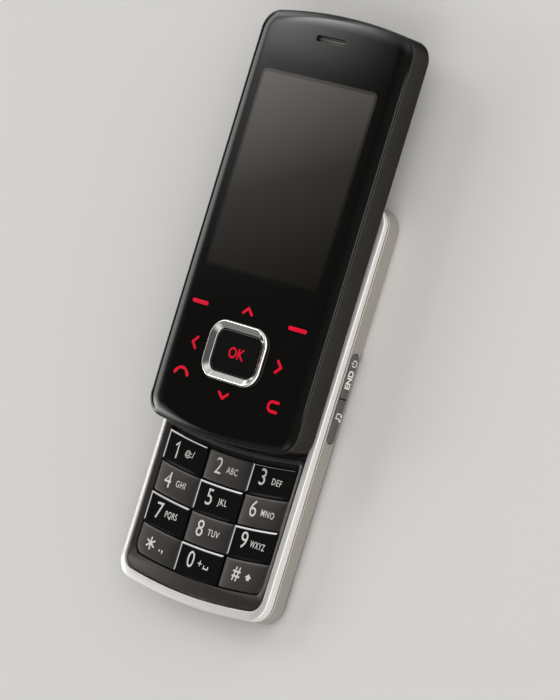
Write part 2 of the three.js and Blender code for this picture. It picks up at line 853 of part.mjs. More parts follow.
function slideSpring() {
  const [x0, y0] = springBase;
  const [x1, y1] = springSlider;
  const dx = x1 - x0;
  const dy = y1 - y0;
  const height = (platHigh + sliderLow) / 2;
  const eye = (x, y, from, to) => arc(x, y, springEye, from, to, screwSides);
  const points = [
    ...eye(x0, y0, Math.PI / 2, Math.PI * 7 / 4),
    ...springWayShares.map(([u, v]) => [x0 + dx * u, y0 + dy * v]),
    ...eye(x1, y1, Math.PI * 3 / 4, -Math.PI / 2),
  ];
  const curve = new THREE.CatmullRomCurve3(points.map(([x, y]) => new THREE.Vector3(x, y, height)));
  const round = arc(0, 0, springWire, 0, Math.PI * 2, springSides).slice(0, -1);
  const section = new THREE.Shape(round.map(([x, y]) => new THREE.Vector2(x, y)));
  return solid(new THREE.ExtrudeGeometry(section, { steps: springSteps, extrudePath: curve }));
}

// Outline of a thin strip that follows a path, with mitred corners
function strip(path, thickness) {
  const sides = [[], []];
  path.forEach(([u, v], i) => {
    const before = path[Math.max(i - 1, 0)];
    const after = path[Math.min(i + 1, path.length - 1)];
    const arrive = new THREE.Vector2(u - before[0], v - before[1]);
    const leave = new THREE.Vector2(after[0] - u, after[1] - v);
    const start = i === 0 ? leave : arrive;
    const end = i === path.length - 1 ? arrive : leave;
    const along = start.clone().normalize().add(end.clone().normalize()).normalize();
    const widen = 1 / along.dot(end.clone().normalize());
    const offset = thickness / 2 * widen;
    sides[0].push([u + along.y * offset, v - along.x * offset]);
    sides[1].push([u - along.y * offset, v + along.x * offset]);
  });
  return [...sides[0], ...sides[1].reverse()];
}

// Flat cable: out of the deck, forward, round a tight fold and back into the upper half
function slideFlex() {
  const low = deckHigh + layerGap + flexThickness / 2;
  const high = sliderLow - layerGap - flexThickness / 2;
  const radius = (high - low) / 2;
  const fold = arc(flexTurnY - radius, (low + high) / 2, radius, -Math.PI / 2, Math.PI / 2, 2 * roundSteps);
  const path = [
    [flexDeckY, boardHigh + layerGap],
    [flexDeckY, low],
    ...fold,
    [flexCoverY, high],
    [flexCoverY, coverHigh + flexTail],
  ];
  return barAcross(strip(path, flexThickness), -flexWidth / 2, flexWidth / 2);
}

// Parts in the upper room of the base
function shieldCan() {
  return block(
    [socketFace + socketDepth + shieldSocketGap, speakerX - speakerRadius - shieldSpeakerGap],
    [compartmentBottom + shieldInset, antennaBottom - shieldAntennaGap],
    [boardLow - foilGap - shieldHeight, boardLow - foilGap],
  );
}

function speaker() {
  const y = compartmentBottom + speakerRise;
  return rod(speakerX, y, speakerRadius, rearFloor + layerGap, rearHeight - 3 * layerGap, roundSides);
}

function microphone() {
  const high = rearHeight - foilGap;
  const y = baseBottom + microphoneInset;
  return rod(microphonePlace, y, microphoneRadius, high - microphoneHeight, high, roundSides / 2);
}

function antenna() {
  return block(
    [-antennaHalfLength, antennaHalfLength],
    [antennaBottom, antennaTop],
    [rearFloor + layerGap, rearHeight - layerGap],
  );
}

// The socket is a little taller than the side keys and open towards the side wall
const socketRange = [capMiddle - socketLength / 2, capMiddle + socketLength / 2];
const socketHeights = [sideKeyLowZ - socketLap, sideKeyHighZ + socketLap];

// What is left of a range when a wall is taken off both its ends
function within([low, high], wall) {
  return [low + wall, high - wall];
}

function chargeSocket() {
  const body = block([socketFace, socketFace + socketDepth], socketRange, socketHeights);
  const mouth = block(
    [socketFace - overrun, socketFace + socketDepth - socketBackWall],
    within(socketRange, socketEndWall),
    within(socketHeights, socketWall),
  );
  return body.subtract(mouth);
}

function socketCover() {
  const face = pill(capRange, [sideKeyLowZ, sideKeyHighZ]);
  const lid = barAcross(face, -halfWidth - sideKeyProud, -wallInner);
  const tongue = block(
    [-wallInner - layerGap, socketFace + capTongue],
    within(socketRange, socketEndWall + 3 * sideGap),
    within(socketHeights, socketWall + sideGap),
  );
  return lid.add(tongue);
}

// Side keys: a cap that stands proud of the wall, with a flange inside that keeps it in
const flangeFace = wallInner - sideGap;
const keyBack = flangeFace - sideKeyFlange;

function sideKey([low, high], roundLow, roundHigh) {
  const face = pill([low, high], [sideKeyLowZ, sideKeyHighZ], roundLow, roundHigh);
  const cap = barAcross(face, keyBack, halfWidth + sideKeyProud);
  const flange = block(
    [keyBack, flangeFace],
    [roundLow ? low - sideKeyFlangeReach : low, roundHigh ? high + sideKeyFlangeReach : high],
    [sideKeyLowZ, sideKeyHighZ],
  );
  return cap.add(flange);
}

function volumeRocker() {
  const face = pill([rockerBottom, rockerTop], [sideKeyLowZ, sideKeyHighZ]);
  const cap = barAcross(face, -halfWidth - sideKeyProud, -keyBack);
  const flange = block(
    [-wallInner + rockerFlangeGap, -keyBack],
    [rockerBottom - sideKeyFlangeReach, rockerTop + sideKeyFlangeReach],
    [sideKeyLowZ, sideKeyHighZ],
  );
  return cap.add(flange);
}

// A small board beside the battery bay with a switch behind each key
function switchBoard(side, [low, high], places) {
  const inner = pocketInner + 2 * sideGap;
  const span = [inner, inner + switchBoardThickness];
  const board = block(
    side > 0 ? span : [-span[1], -span[0]],
    [low, high],
    [sideKeyLowZ + layerGap, rearHeight - layerGap],
  );
  const reach = keyBack - sideKeyTravel - foilGap;
  const switches = places.map((y) => {
    const sides = arc(y, sideKeyMiddle, switchRadius, 0, 2 * Math.PI, screwSides).slice(0, -1);
    const from = side > 0 ? span[0] : -reach;
    return barAcross(sides, from, from + reach - span[0]);
  });
  return joined([board, ...switches]);
}

// Upper half

function sliderFrame() {
  const outline = (inset) => bodyOutline(sliderCentre, inset);
  const wall = loft([
    ringAt(outline(frameChamfer), sliderLow),
    ringAt(outline(0), sliderLow + frameChamfer),
    ringAt(outline(0), frameHigh - frameChamfer),
    ringAt(outline(frameChamfer), frameHigh),
    ringAt(outline(frameWall), frameHigh),
    ringAt(outline(frameWall), sliderLow),
  ], 'z', true);
  const bossHigh = coverHigh + bossHeight;
  const bossLow = coverHigh + layerGap;
  const bosses = backScrewPlaces.map(([x, y]) => rod(x, y, bossRadius, bossLow, bossHigh, roundSides / 2));
  const holes = backScrewPlaces.map(([x, y]) => (
    rod(x, y, backScrewRadius + layerGap, sliderLow, coverHigh + backScrewLength + layerGap)
  ));
  return without(joined([wall, ...bosses]), holes);
}

function sliderBackCover() {
  const slotOuter = neckOuter + slotClearance;
  const slotRange = [plateBottom - slotEndClearance, plateTop + slideTravel + slotEndClearance];
  const from = sliderLow - overrun;
  const through = coverHigh + overrun;
  const slots = [-1, 1].map((side) => block(
    side > 0 ? [slotInner, slotOuter] : [-slotOuter, -slotInner],
    slotRange,
    [from, through],
  ));
  const headSeat = sliderLow + backScrewSink + backScrewHeadHeight + foilGap;
  const screwHoles = backScrewPlaces.flatMap(([x, y]) => [
    rod(x, y, backScrewHeadRadius + screwClearance, from, headSeat),
    rod(x, y, backScrewRadius + layerGap, from, through),
  ]);
  const cameraHole = rod(cameraX, cameraY, cameraWindowRadius + layerGap, from, through, roundSides);
  const post = rod(...springSlider, postRadius, platHigh + postClearance, sliderLow + foilGap);
  const cover = without(plate(bodyOutline(sliderCentre, frameWall + sideGap), sliderLow, coverHigh), [
    ...slots, ...screwHoles, cameraHole, flexSlot(flexCoverY, sliderLow, coverHigh),
  ]);
  return cover.add(post);
}

// A grooved rail; the slide plate's flange runs in the groove
function slideRail(side) {
  const inner = neckOuter + slotClearance + sideGap;
  const grooveBack = flangeOuter + railPlay + layerGap;
  const outer = grooveBack + railWeb;
  const half = [
    [railLow, inner],
    [railLow, outer],
    [railHigh, outer],
    [railHigh, inner],
    [grooveHigh, inner],
    [grooveHigh, grooveBack],
    [grooveLow, grooveBack],
    [grooveLow, inner],
  ];
  const profile = side > 0 ? [...half].reverse() : half.map(([z, x]) => [z, -x]);
  return barAlong(profile, plateBottom - slotEndClearance, plateTop + slideTravel + slotEndClearance);
}

function backScrew([x, y]) {
  const headLow = sliderLow + backScrewSink;
  const headHigh = headLow + backScrewHeadHeight;
  return joined([
    rod(x, y, backScrewHeadRadius, headLow, headHigh),
    rod(x, y, backScrewRadius, headHigh - foilGap, coverHigh + backScrewLength),
  ]);
}

// Height of the panel's face: crowned across, easing down towards both ends
function panelFace(x, y) {
  const fromEnd = bodyLength / 2 - Math.abs(y - sliderCentre);
  const ease = Math.max(0, 1 - fromEnd / pillowLength);
  return panelHigh - crownRadius + Math.sqrt(crownRadius ** 2 - x ** 2) - pillowDrop * ease ** 2;
}

const okY = sliderBottom + okPlace;
const ringRange = {
  x: [-ringWidth / 2, ringWidth / 2],
  y: [okY - ringHeight / 2, okY + ringHeight / 2],
};

function ringOutline(inset) {
  return roundedBox(
    ringRange.x.map((x) => x - Math.sign(x) * inset),
    [ringRange.y[0] + inset, ringRange.y[1] - inset],
    ringCorner - inset,
  );
}

const earpieceY = sliderTop - earpiecePlace;

function earpieceField(clearance) {
  return pill(
    [-earpieceLength / 2 + clearance, earpieceLength / 2 - clearance],
    [earpieceY - earpieceHeight / 2 + clearance, earpieceY + earpieceHeight / 2 - clearance],
  );
}

// Steps of the panel's round edge: shares of its width and its drop; and of the rings on its crown
const panelEdgeShares = [[0, 1], [0.13, 0.5], [0.5, 0.13], [1, 0]];
const panelRingShares = [[0.72, 0.9], [0.4, 0.84]];

function frontPanel() {
  const outline = (inset) => bodyOutline(sliderCentre, panelInset + inset);
  const narrowed = (shareX, shareY) => outline(panelRound)
    .map(([x, y]) => [x * shareX, sliderCentre + (y - sliderCentre) * shareY]);
  const face = (drop) => (x, y) => Math.max(panelFace(x, y) - drop, panelLow + layerGap);
  const edge = panelEdgeShares.map(([inset, drop]) => (
    ringAt(outline(panelRound * inset), face(panelEdgeDrop * drop))
  ));
  const crown = panelRingShares.map(([across, along]) => ringAt(narrowed(across, along), face(0)));
  const shell = loft([ringAt(outline(0), panelLow), ...edge, ...crown]);
  return without(shell, [
    plate(ringOutline(ringLap - layerGap), panelLow - overrun, panelHigh + overrun),
    plate(earpieceField(0), panelLow - overrun, panelHigh + overrun),
  ]);
}

// Bright ring: a lap on the panel, a crest near its rim and a slope down to the key
function okRing() {
  const lapLow = panelHigh + foilGap;
  const crest = panelHigh + ringProud;
  const slopeLow = panelHigh - okSink;
  return loft([
    ringAt(ringOutline(ringLap), panelLow + layerGap),
    ringAt(ringOutline(ringLap), lapLow),
    ringAt(ringOutline(0), lapLow),
    ringAt(ringOutline(0), lapLow + ringRim),
    ringAt(ringOutline(ringLap), crest),
    ringAt(ringOutline(ringBand), slopeLow),
    ringAt(ringOutline(ringBand), panelLow + layerGap),
  ], 'z', true);
}

const touchHigh = panelLow - touchBoardDrop;
const touchLow = touchHigh - touchBoardThickness;
const okKeyLow = touchHigh + okDomeHeight + okTravel + foilGap;

function okKey() {
  const high = panelHigh - okSink - foilGap;
  const chamfer = okKeyGap;
  return loft([
    ringAt(ringOutline(ringBand + okKeyGap), okKeyLow),
    ringAt(ringOutline(ringBand + okKeyGap), high - chamfer),
    ringAt(ringOutline(ringBand + okKeyGap + chamfer), high),
  ]);
}

function touchBoard() {
  const board = block(
    [-displayHalfWidth, displayHalfWidth],
    [touchBoardBottom, touchBoardTop],
    [touchLow, touchHigh],
  );
  const domeHigh = touchHigh + okDomeHeight;
  const dome = rod(0, okY, okDomeRadius, touchLow, domeHigh, screwSides, okDomeTopRadius);
  return board.add(dome);
}

function earpieceMesh() {
  const high = panelFace(0, earpieceY) - earpieceMeshSink;
  return plate(earpieceField(layerGap), high - earpieceMeshThickness, high);
}

function earpieceReceiver() {
  const high = panelLow - layerGap;
  return block(
    [-receiverHalfWidth, receiverHalfWidth],
    [earpieceY - receiverLength / 2, earpieceY + receiverLength / 2],
    [high - receiverHeight, high],
  );
}

function displayModule() {
  return block(
    [-displayHalfWidth, displayHalfWidth],
    [displayBottom, displayTop],
    [displayLow, displayLow + displayThickness],
  );
}

function sliderBoard() {
  return block(
    [-sliderBoardHalfWidth, sliderBoardHalfWidth],
    [sliderBoardBottom, displayTop],
    [sliderBoardLow, sliderBoardLow + sliderBoardThickness],
  );
}

function vibrationMotor() {
  const low = coverHigh + layerGap;
  return rod(motorX, motorY, motorRadius, low, low + motorHeight, roundSides);
}

const windowHigh = sliderLow + cameraWindowThickness;

function cameraModule() {
  const low = coverHigh + 2 * layerGap;
  const body = block(
    [cameraX - cameraSize / 2, cameraX + cameraSize / 2],
    [cameraY - cameraSize / 2, cameraY + cameraSize / 2],
    [low, panelLow - cameraHeadroom],
  );
  const barrelLow = windowHigh + layerGap;
  return body.add(rod(cameraX, cameraY, cameraBarrelRadius, barrelLow, low + layerGap, roundSides));
}

function cameraWindow() {
  return rod(cameraX, cameraY, cameraWindowRadius, sliderLow, windowHigh, roundSides);
}

// Lower half
addPart('rear_housing', rearHousing(), satinGrey);
addPart('battery_cover', batteryCover(), satinBlack);
addPart('battery', battery(), batteryGrey);
addPart('sim_holder', simHolder(), partBlack);
addPart('chrome_rim', chromeRim(), brightMetal);
addPart('main_board', mainBoard(), circuitGreen);
addPart('shield_can', shieldCan(), springSteel);
addPart('speaker', speaker(), partBlack);
addPart('microphone', microphone(), springSteel);
addPart('antenna', antenna(), copperFoil);
addPart('charge_socket', chargeSocket(), springSteel);
addPart('socket_cover', socketCover(), satinBlack);
addPart('dome_sheet', domeSheet(), springSteel);
addPart('keypad_mat', keypadMat(), silicone);
addPart('keypad_bezel', keypadBezel(), satinBlack);
addPart('base_deck', baseDeck(), partBlack);
caseScrewPlaces.forEach((place, i) => addPart(`case_screw_${i + 1}`, caseScrew(place), springSteel));

// Keys in reading order; the dished ones are the darker ones
const keyNames = ['1', '2', '3', '4', '5', '6', '7', '8', '9', 'star', '0', 'hash'];
keyNames.forEach((name, i) => {
  const row = Math.floor(i / 3);
  const dished = i % 2 === 0;
  addPart(`key_${name}`, keyCap(i % 3, row, dished), dished ? darkKey : lightKey);
});

// Sides
const endRange = [sideKeySplit + sideGap, sideSlotTop];
const musicRange = [sideSlotBottom, sideKeySplit - sideGap];
const middleOf = ([low, high]) => (low + high) / 2;
addPart('end_key', sideKey(endRange, false, true), satinGrey);
addPart('music_key', sideKey(musicRange, true, false), satinGrey);
addPart('volume_rocker', volumeRocker(), satinGrey);
const rightSwitches = [endRange, musicRange].map(middleOf);
const leftSwitches = [rockerBottom + rockerSwitchInset, rockerTop - rockerSwitchInset];
addPart('side_switch_right', switchBoard(1, [sideSlotBottom, sideSlotTop], rightSwitches), circuitGreen);
addPart('side_switch_left', switchBoard(-1, [rockerBottom, rockerTop], leftSwitches), circuitGreen);

// Slide
addPart('slide_plate', slidePlate(), springSteel);
addPart('slide_spring', slideSpring(), springSteel);
addPart('slide_flex', slideFlex(), copperFoil);
addPart('slide_rail_left', slideRail(-1), partBlack);
addPart('slide_rail_right', slideRail(1), partBlack);

// Upper half
addPart('slider_frame', sliderFrame(), satinGrey);
addPart('slider_back_cover', sliderBackCover(), satinBlack);
backScrewPlaces.forEach((place, i) => addPart(`slider_screw_${i + 1}`, backScrew(place), springSteel));
addPart('front_panel', frontPanel(), glossBlack);
addPart('ok_ring', okRing(), brightMetal);
addPart('ok_key', okKey(), glossBlack);
addPart('touch_board', touchBoard(), circuitGreen);
addPart('earpiece_mesh', earpieceMesh(), springSteel);
addPart('earpiece_receiver', earpieceReceiver(), partBlack);
addPart('display_module', displayModule(), lensGlass);
addPart('slider_board', sliderBoard(), circuitGreen);
addPart('vibration_motor', vibrationMotor(), springSteel);
addPart('camera_module', cameraModule(), partBlack);
addPart('camera_window', cameraWindow(), lensGlass);

export default phone;
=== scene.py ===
import math

import bmesh
import bpy
from mathutils import Matrix, Vector


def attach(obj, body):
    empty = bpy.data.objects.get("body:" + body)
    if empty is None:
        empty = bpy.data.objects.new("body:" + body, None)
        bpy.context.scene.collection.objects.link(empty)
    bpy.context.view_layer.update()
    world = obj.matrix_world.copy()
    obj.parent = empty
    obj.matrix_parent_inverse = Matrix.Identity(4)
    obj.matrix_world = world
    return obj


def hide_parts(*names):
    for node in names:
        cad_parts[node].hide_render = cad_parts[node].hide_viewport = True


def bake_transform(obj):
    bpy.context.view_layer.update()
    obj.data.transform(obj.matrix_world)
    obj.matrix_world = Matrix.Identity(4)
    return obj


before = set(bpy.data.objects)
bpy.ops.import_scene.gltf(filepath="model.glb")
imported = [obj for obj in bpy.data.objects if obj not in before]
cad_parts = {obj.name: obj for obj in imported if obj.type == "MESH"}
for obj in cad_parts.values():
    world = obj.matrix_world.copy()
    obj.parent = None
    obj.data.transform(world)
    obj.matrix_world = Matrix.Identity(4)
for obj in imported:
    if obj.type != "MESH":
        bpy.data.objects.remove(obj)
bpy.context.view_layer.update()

# Rear housing: the tray of the lower half, with the battery bay, the side keys' pockets and the
# loudspeaker's slots. It is die-cast and spray painted in a satin metallic grey, so its long walls
# pick up the pale floor softly. Outlines are in millimetres, and each skin is turned to metres.
mm = 0.001
half_width, body_length, end_bow, corner_radius = 24, 100, 2.1, 5
end_radius = (half_width ** 2 + end_bow ** 2) / (2 * end_bow)
travel = 37.8
base_middle, slider_middle = -travel / 2, travel / 2


def arc(centre_x, centre_y, radius, start, end, steps):
    angles = [math.radians(start + (end - start) * i / steps) for i in range(steps + 1)]
    return [(centre_x + radius * math.cos(a), centre_y + radius * math.sin(a)) for a in angles]


def body_outline(middle, side=0, end=None):
    """The outline of both halves, drawn in at its sides and at its ends."""
    end = side if end is None else end
    width, length = half_width - side, body_length / 2 - end
    bend, corner = end_radius - end, max(corner_radius - side, 0.8)
    bend_middle, corner_x = length - bend, width - corner
    corner_y = bend_middle + math.sqrt((bend - corner) ** 2 - corner_x ** 2)
    turn = math.degrees(math.atan2(corner_y - bend_middle, corner_x))
    corner_steps, bend_steps, side_steps = 14, 36, 26
    half = arc(corner_x, corner_y, corner, 0, turn, corner_steps)
    half += arc(0, bend_middle, bend, turn, 180 - turn, bend_steps)[1:-1]
    half += arc(-corner_x, corner_y, corner, 180 - turn, 180, corner_steps)
    half += [(-width, corner_y - 2 * corner_y * i / side_steps) for i in range(1, side_steps)]
    return [(x, y + middle) for x, y in half + [(-x, -y) for x, y in half]]


def bow(x):
    """How far the ends' bend has gone at a distance from the middle line."""
    return end_radius - math.sqrt(end_radius ** 2 - x ** 2)


def above(points, limit, bend=bow):
    """The part of an outline above a bowed line."""
    below = [i for i, (x, y) in enumerate(points) if y <= limit + bend(x)]
    width, steps = max(x for x, y in points), 36
    line = [-width + 2 * width * i / steps for i in range(steps + 1)]
    return points[:below[0]] + [(x, limit + bend(x)) for x in line] + points[below[-1] + 1:]


def soft_box(x, y, radii, inset=0, turn=6, along=12):
    """A rectangle with a radius for each corner, drawn in; its corners run from low left, round."""
    least_radius = 0.08
    (x0, x1), (y0, y1) = (x[0] + inset, x[1] - inset), (y[0] + inset, y[1] - inset)
    a, b, c, d = [max(radius - inset, least_radius) for radius in radii]
    low = [(x0 + a + (x1 - b - x0 - a) * i / along, y0) for i in range(1, along)]
    high = [(x1 - c - (x1 - c - x0 - d) * i / along, y1) for i in range(1, along)]
    return (arc(x0 + a, y0 + a, a, 180, 270, turn) + low + arc(x1 - b, y0 + b, b, 270, 360, turn)
            + arc(x1 - c, y1 - c, c, 0, 90, turn) + high + arc(x0 + d, y1 - d, d, 90, 180, turn))


def level(points, height):
    """An outline laid at a height, or on a face that gives the height at each point."""
    return [(x, y, height(x, y) if callable(height) else height) for x, y in points]


def across(points, x):
    """An outline in y and z stood up at one x."""
    return [(x, y, z) for y, z in points]


def skin(rings, closed=False):
    """A skin over rings of points; an open one is capped, a closed one ends at its first ring."""
    shape = bmesh.new()
    rows = [[shape.verts.new(Vector(point) * mm) for point in ring] for ring in rings]
    for near, far in zip(rows, rows[1:] + rows[:1] if closed else rows[1:]):
        for i in range(len(near)):
            j = (i + 1) % len(near)
            shape.faces.new((near[i], near[j], far[j], far[i]))
    if not closed:
        shape.faces.new(rows[0][::-1])
        shape.faces.new(rows[-1])
    bmesh.ops.recalc_face_normals(shape, faces=shape.faces)
    return shape


def slab(points, low, high):
    return skin([level(points, low), level(points, high)])


def block(x, y, z):
    return slab([(x[0], y[0]), (x[1], y[0]), (x[1], y[1]), (x[0], y[1])], *z)


def rod(x, y, radius, low, high, sides=40):
    return slab(arc(x, y, radius, 0, 360, sides)[:-1], low, high)


def as_mesh(name, shape):
    """A plain mesh of a shape, which is used up."""
    mesh = bpy.data.meshes.new(name)
    shape.to_mesh(mesh)
    shape.free()
    return mesh


def linked(name, data):
    """A new object in the scene."""
    thing = bpy.data.objects.new(name, data)
    bpy.context.scene.collection.objects.link(thing)
    return thing


def outcome(thing, *tools):
    """The shape that an object's modifiers or letters make; it and its tools are used up."""
    mesh = bpy.data.meshes.new_from_object(
        thing.evaluated_get(bpy.context.evaluated_depsgraph_get()))
    shape = bmesh.new()
    shape.from_mesh(mesh)
    for used in (thing, *tools):
        bpy.data.objects.remove(used, do_unlink=True)
    return shape


def merged(*shapes):
    """Several skins kept as one mesh."""
    whole = bmesh.new()
    for shape in shapes:
        whole.from_mesh(as_mesh("part_of_piece", shape))
    return whole


def cut(shape, tools):
    """The shape with each tool's room taken out of it."""
    blank, *tools = [linked("blank", as_mesh("blank", solid)) for solid in [shape] + tools]
    for tool in tools:
        step = blank.modifiers.new("cut", "BOOLEAN")
        step.operation, step.solver, step.object = "DIFFERENCE", "EXACT", tool
    return outcome(blank, *tools)


def quarter(steps, turn=90):
    """A round edge in steps: how far each is in from the side and up from the foot, of 1."""
    angles = [math.radians(turn * step / steps) for step in range(steps + 1)]
    return [(1 - math.sin(angle), 1 - math.cos(angle)) for angle in angles]


def softened(shape, width, steps, where):
    """The edges sharper than 40 degrees that `where` picks by their two ends, rounded."""
    edges = [edge for edge in shape.edges if len(edge.link_faces) == 2
             and edge.calc_face_angle(0) > math.radians(40)
             and where(*[vertex.co / mm for vertex in edge.verts])]
    bmesh.ops.bevel(shape, geom=edges, offset=width * mm, segments=steps, profile=0.5,
                    affect="EDGES", clamp_overlap=True)
    return shape


def linear(written):
    """An sRGB hex colour in linear light, opaque."""
    parts = [int(written[i:i + 2], 16) / 255 for i in (1, 3, 5)]
    return [p / 12.92 if p <= 0.04045 else ((p + 0.055) / 1.055) ** 2.4 for p in parts] + [1]


def add(tree, kind, inputs=None, **settings):
    """A node with its settings; an input gets a value, a socket or a node's first output."""
    node = tree.nodes.new(kind)
    for label, value in settings.items():
        setattr(node, label, value)
    for label, value in (inputs or {}).items():
        value = value.outputs[0] if isinstance(value, bpy.types.Node) else value
        if isinstance(value, bpy.types.NodeSocket):
            tree.links.new(value, node.inputs[label])
        else:
            node.inputs[label].default_value = value
    return node


def coated(name, values):
    """A material with values on its shader, its tree and the shader."""
    material = bpy.data.materials.new(name)
    material.use_nodes = True
    shader = material.node_tree.nodes["Principled BSDF"]
    for label, value in values.items():
        shader.inputs[label].default_value = value
    return material, material.node_tree, shader


def finish(name, shades, gloss, grain, depth, values, patch=9, stretch=(1, 1, 1)):
    """Two near shades in patches and a fine relief that varies the roughness; sizes are in mm."""
    material, tree, shader = coated(name, values)
    place = add(tree, "ShaderNodeTexCoord").outputs["Object"]
    drawn = add(tree, "ShaderNodeMapping", {"Scale": stretch, "Vector": place})
    wide, fine = [add(tree, "ShaderNodeTexNoise", {"Scale": 1 / (size * mm), "Detail": detail,
                                                   "Vector": drawn})
                  for size, detail in ((patch, 3), (grain, 2))]
    shade = add(tree, "ShaderNodeMix", {0: wide, 6: linear(shades[0]), 7: linear(shades[1])},
                data_type="RGBA")
    rough = add(tree, "ShaderNodeMapRange",
                {"To Min": gloss[0], "To Max": gloss[1], "Value": fine})
    relief = add(tree, "ShaderNodeBump", {"Strength": 1, "Distance": depth * mm, "Height": fine})
    tree.links.new(shade.outputs[2], shader.inputs["Base Color"])
    tree.links.new(rough.outputs["Result"], shader.inputs["Roughness"])
    tree.links.new(relief.outputs["Normal"], shader.inputs["Normal"])
    return material


def piece(name, shape, material, body, nodes=(), sharp=32):
    """A finished piece that stands for its CAD nodes and rides on a body, if it is given one."""
    bmesh.ops.recalc_face_normals(shape, faces=shape.faces)
    mesh = as_mesh(name, shape)
    mesh.materials.clear()
    mesh.materials.append(material)
    mesh.polygons.foreach_set("material_index", [0] * len(mesh.polygons))
    mesh.shade_smooth()
    mesh.set_sharp_from_angle(angle=math.radians(sharp))
    thing = linked(name, mesh)
    if body:
        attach(thing, body)
    if nodes:
        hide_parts(*nodes)
    return thing


# Metallic paint: satin, with flakes under 0.1 mm that show as a faint sparkle in the gloss
metallic_paint = finish("satin_metallic_paint", ("#bab5af", "#aea9a3"), (0.24, 0.32), 0.12, 0.0008,
                        {"Metallic": 0.85})
lip_high, back_round, edge_round = 4.56, 1.6, 0.1
rear_wall, below, open_top = 1.2, -2, 6.3
tray_end, tray_floor, cover_seat, bay_roof, lip_seat = -2.5, 1, 0.95, 4, 4.3
cover_end, cover_room = -3, (-48, 48)
bay_x, bay_y = (-17.3, 17.3), (-61.8, -4.5)
pocket_floor, pocket_out, pocket_in = 1.45, 22.8, 18.1
pocket_y, bridge_y = (-26.1, -3.6), (-3.7, -2.4)
case_screws = [(-16.5, -64.3), (16.5, -64.3), (-19.5, 24), (19.5, 24)]
seat_radius, seat_depth, bore_radius, bore_sides = 1.6, 1.95, 0.9, 24
microphone_at, microphone_radius, microphone_floor = (8, -65.4), 2.15, 2.55
sound_middle, sound_pitch, sound_half, sound_corner = 9, 1.7, 0.4, 0.39
sound_y, sound_depth = (0.8, 7.8), 1.1
end_slot, music_slot = (-13.79, -3.4), (-24.3, -13.99)
rocker_slot, cap_slot = (-24, -6), (0.3, 11.3)
button_z, button_corner, button_gap, window_cut = (1.6, 3.9), 1.15, 0.15, (20.8, 26)


def base_ring(height, side=0, end=None):
    """The lower half's outline, drawn in, at a height."""
    return level(body_outline(base_middle, side, end), height)


def side_window(side, low, high):
    """The room of a round-ended window through a side wall."""
    pill = soft_box((low - button_gap, high + button_gap),
                    (button_z[0] - button_gap, button_z[1] + button_gap),
                    [button_corner + button_gap] * 4, turn=10)
    return skin([across(pill, side * x) for x in window_cut])


rear_rings = [base_ring(back_round * high, back_round * side) for side, high in quarter(8)]
rear_rings += [base_ring(lip_high - edge_round), base_ring(lip_high, edge_round)]
rear = cut(skin(rear_rings), [
    block(cover_room, (-72, cover_end), (below, cover_seat)),
    block(bay_x, bay_y, (below, bay_roof)),
    slab(above(body_outline(base_middle, rear_wall), tray_end, lambda x: 0), tray_floor, open_top),
    slab(body_outline(base_middle, rear_wall), lip_seat, open_top),
    block((-pocket_out, pocket_out), bridge_y, (pocket_floor, open_top)),
    block((-pocket_out, -pocket_in), pocket_y, (pocket_floor, open_top)),
    block((pocket_in, pocket_out), pocket_y, (pocket_floor, open_top)),
    *[rod(x, y, seat_radius, below, seat_depth) for x, y in case_screws],
    *[rod(x, y, bore_radius, below, open_top, bore_sides) for x, y in case_screws],
    rod(*microphone_at, microphone_radius, microphone_floor, open_top),
    *[slab(soft_box((x - sound_half, x + sound_half), sound_y, [sound_corner] * 4, along=2),
           below, sound_depth) for x in [sound_middle + sound_pitch * i for i in range(-2, 3)]],
    side_window(1, music_slot[0], end_slot[1]),
    side_window(-1, *rocker_slot),
    side_window(-1, *cap_slot),
])
piece("rear_housing_shell", rear, metallic_paint, "base", ["rear_housing"])

# Battery cover: moulded from black ABS and slid in under a lap of the housing. Five shallow grooves
# show a thumb where to push. Its spark-eroded grain keeps it matt beside the painted housing.
moulded_grain = finish("spark_eroded_abs", ("#2d2b2a", "#262423"), (0.42, 0.55), 0.3, 0.012,
                       {"IOR": 1.54})
cover_high, cover_turn, cover_steps, cover_gap = 0.85, 56.5, 5, 0.15
cover_rings = [base_ring(back_round * high, back_round * side)
               for side, high in quarter(cover_steps, cover_turn)]
cover_rings[-1] = [(x, y, cover_high) for x, y, z in cover_rings[-1]]
groove_x, groove_width, groove_corner, groove_depth = (-6, 6), 0.7, 0.34, 0.25
groove_places = (-16, -14, -12, -10, -8)
cover = cut(skin(cover_rings), [
    block(cover_room, (cover_end - cover_gap, 40), (below, 6)),
    *[slab(soft_box(groove_x, (y, y + groove_width), [groove_corner] * 4), below, groove_depth)
      for y in groove_places],
])
piece("battery_cover_shell", cover, moulded_grain, "battery_cover",
      ["battery_cover"])

# Bright rim: a moulded band that frames the lower half. Its front slopes down outwards and stands
# a little higher at the keypad end. Satin silver lacquer makes front and side both read near white.
silver_lacquer = finish("satin_silver_lacquer", ("#efedea", "#e7e5e1"), (0.34, 0.42), 0.12, 0.0008,
                        {"Metallic": 0.6, "IOR": 1.5})
rim_low, rim_side, rim_end = 4.86, 1.35, 2.1
rim_high, rim_rise, rim_slope, rim_crown = 6.6, 0.95, 0.4, 0.04
outer_round, inner_round = 0.2, 0.15


def rim_ring(inset, drop, end_inset=None):
    """A ring of the rim's front, which slopes outwards and rises to the keypad end."""
    def height(x, y):
        from_top = (base_middle + body_length / 2 - y) / body_length
        return rim_high + rim_rise * from_top - rim_slope * (1 - inset / rim_side) - drop
    return base_ring(height, inset, end_inset)


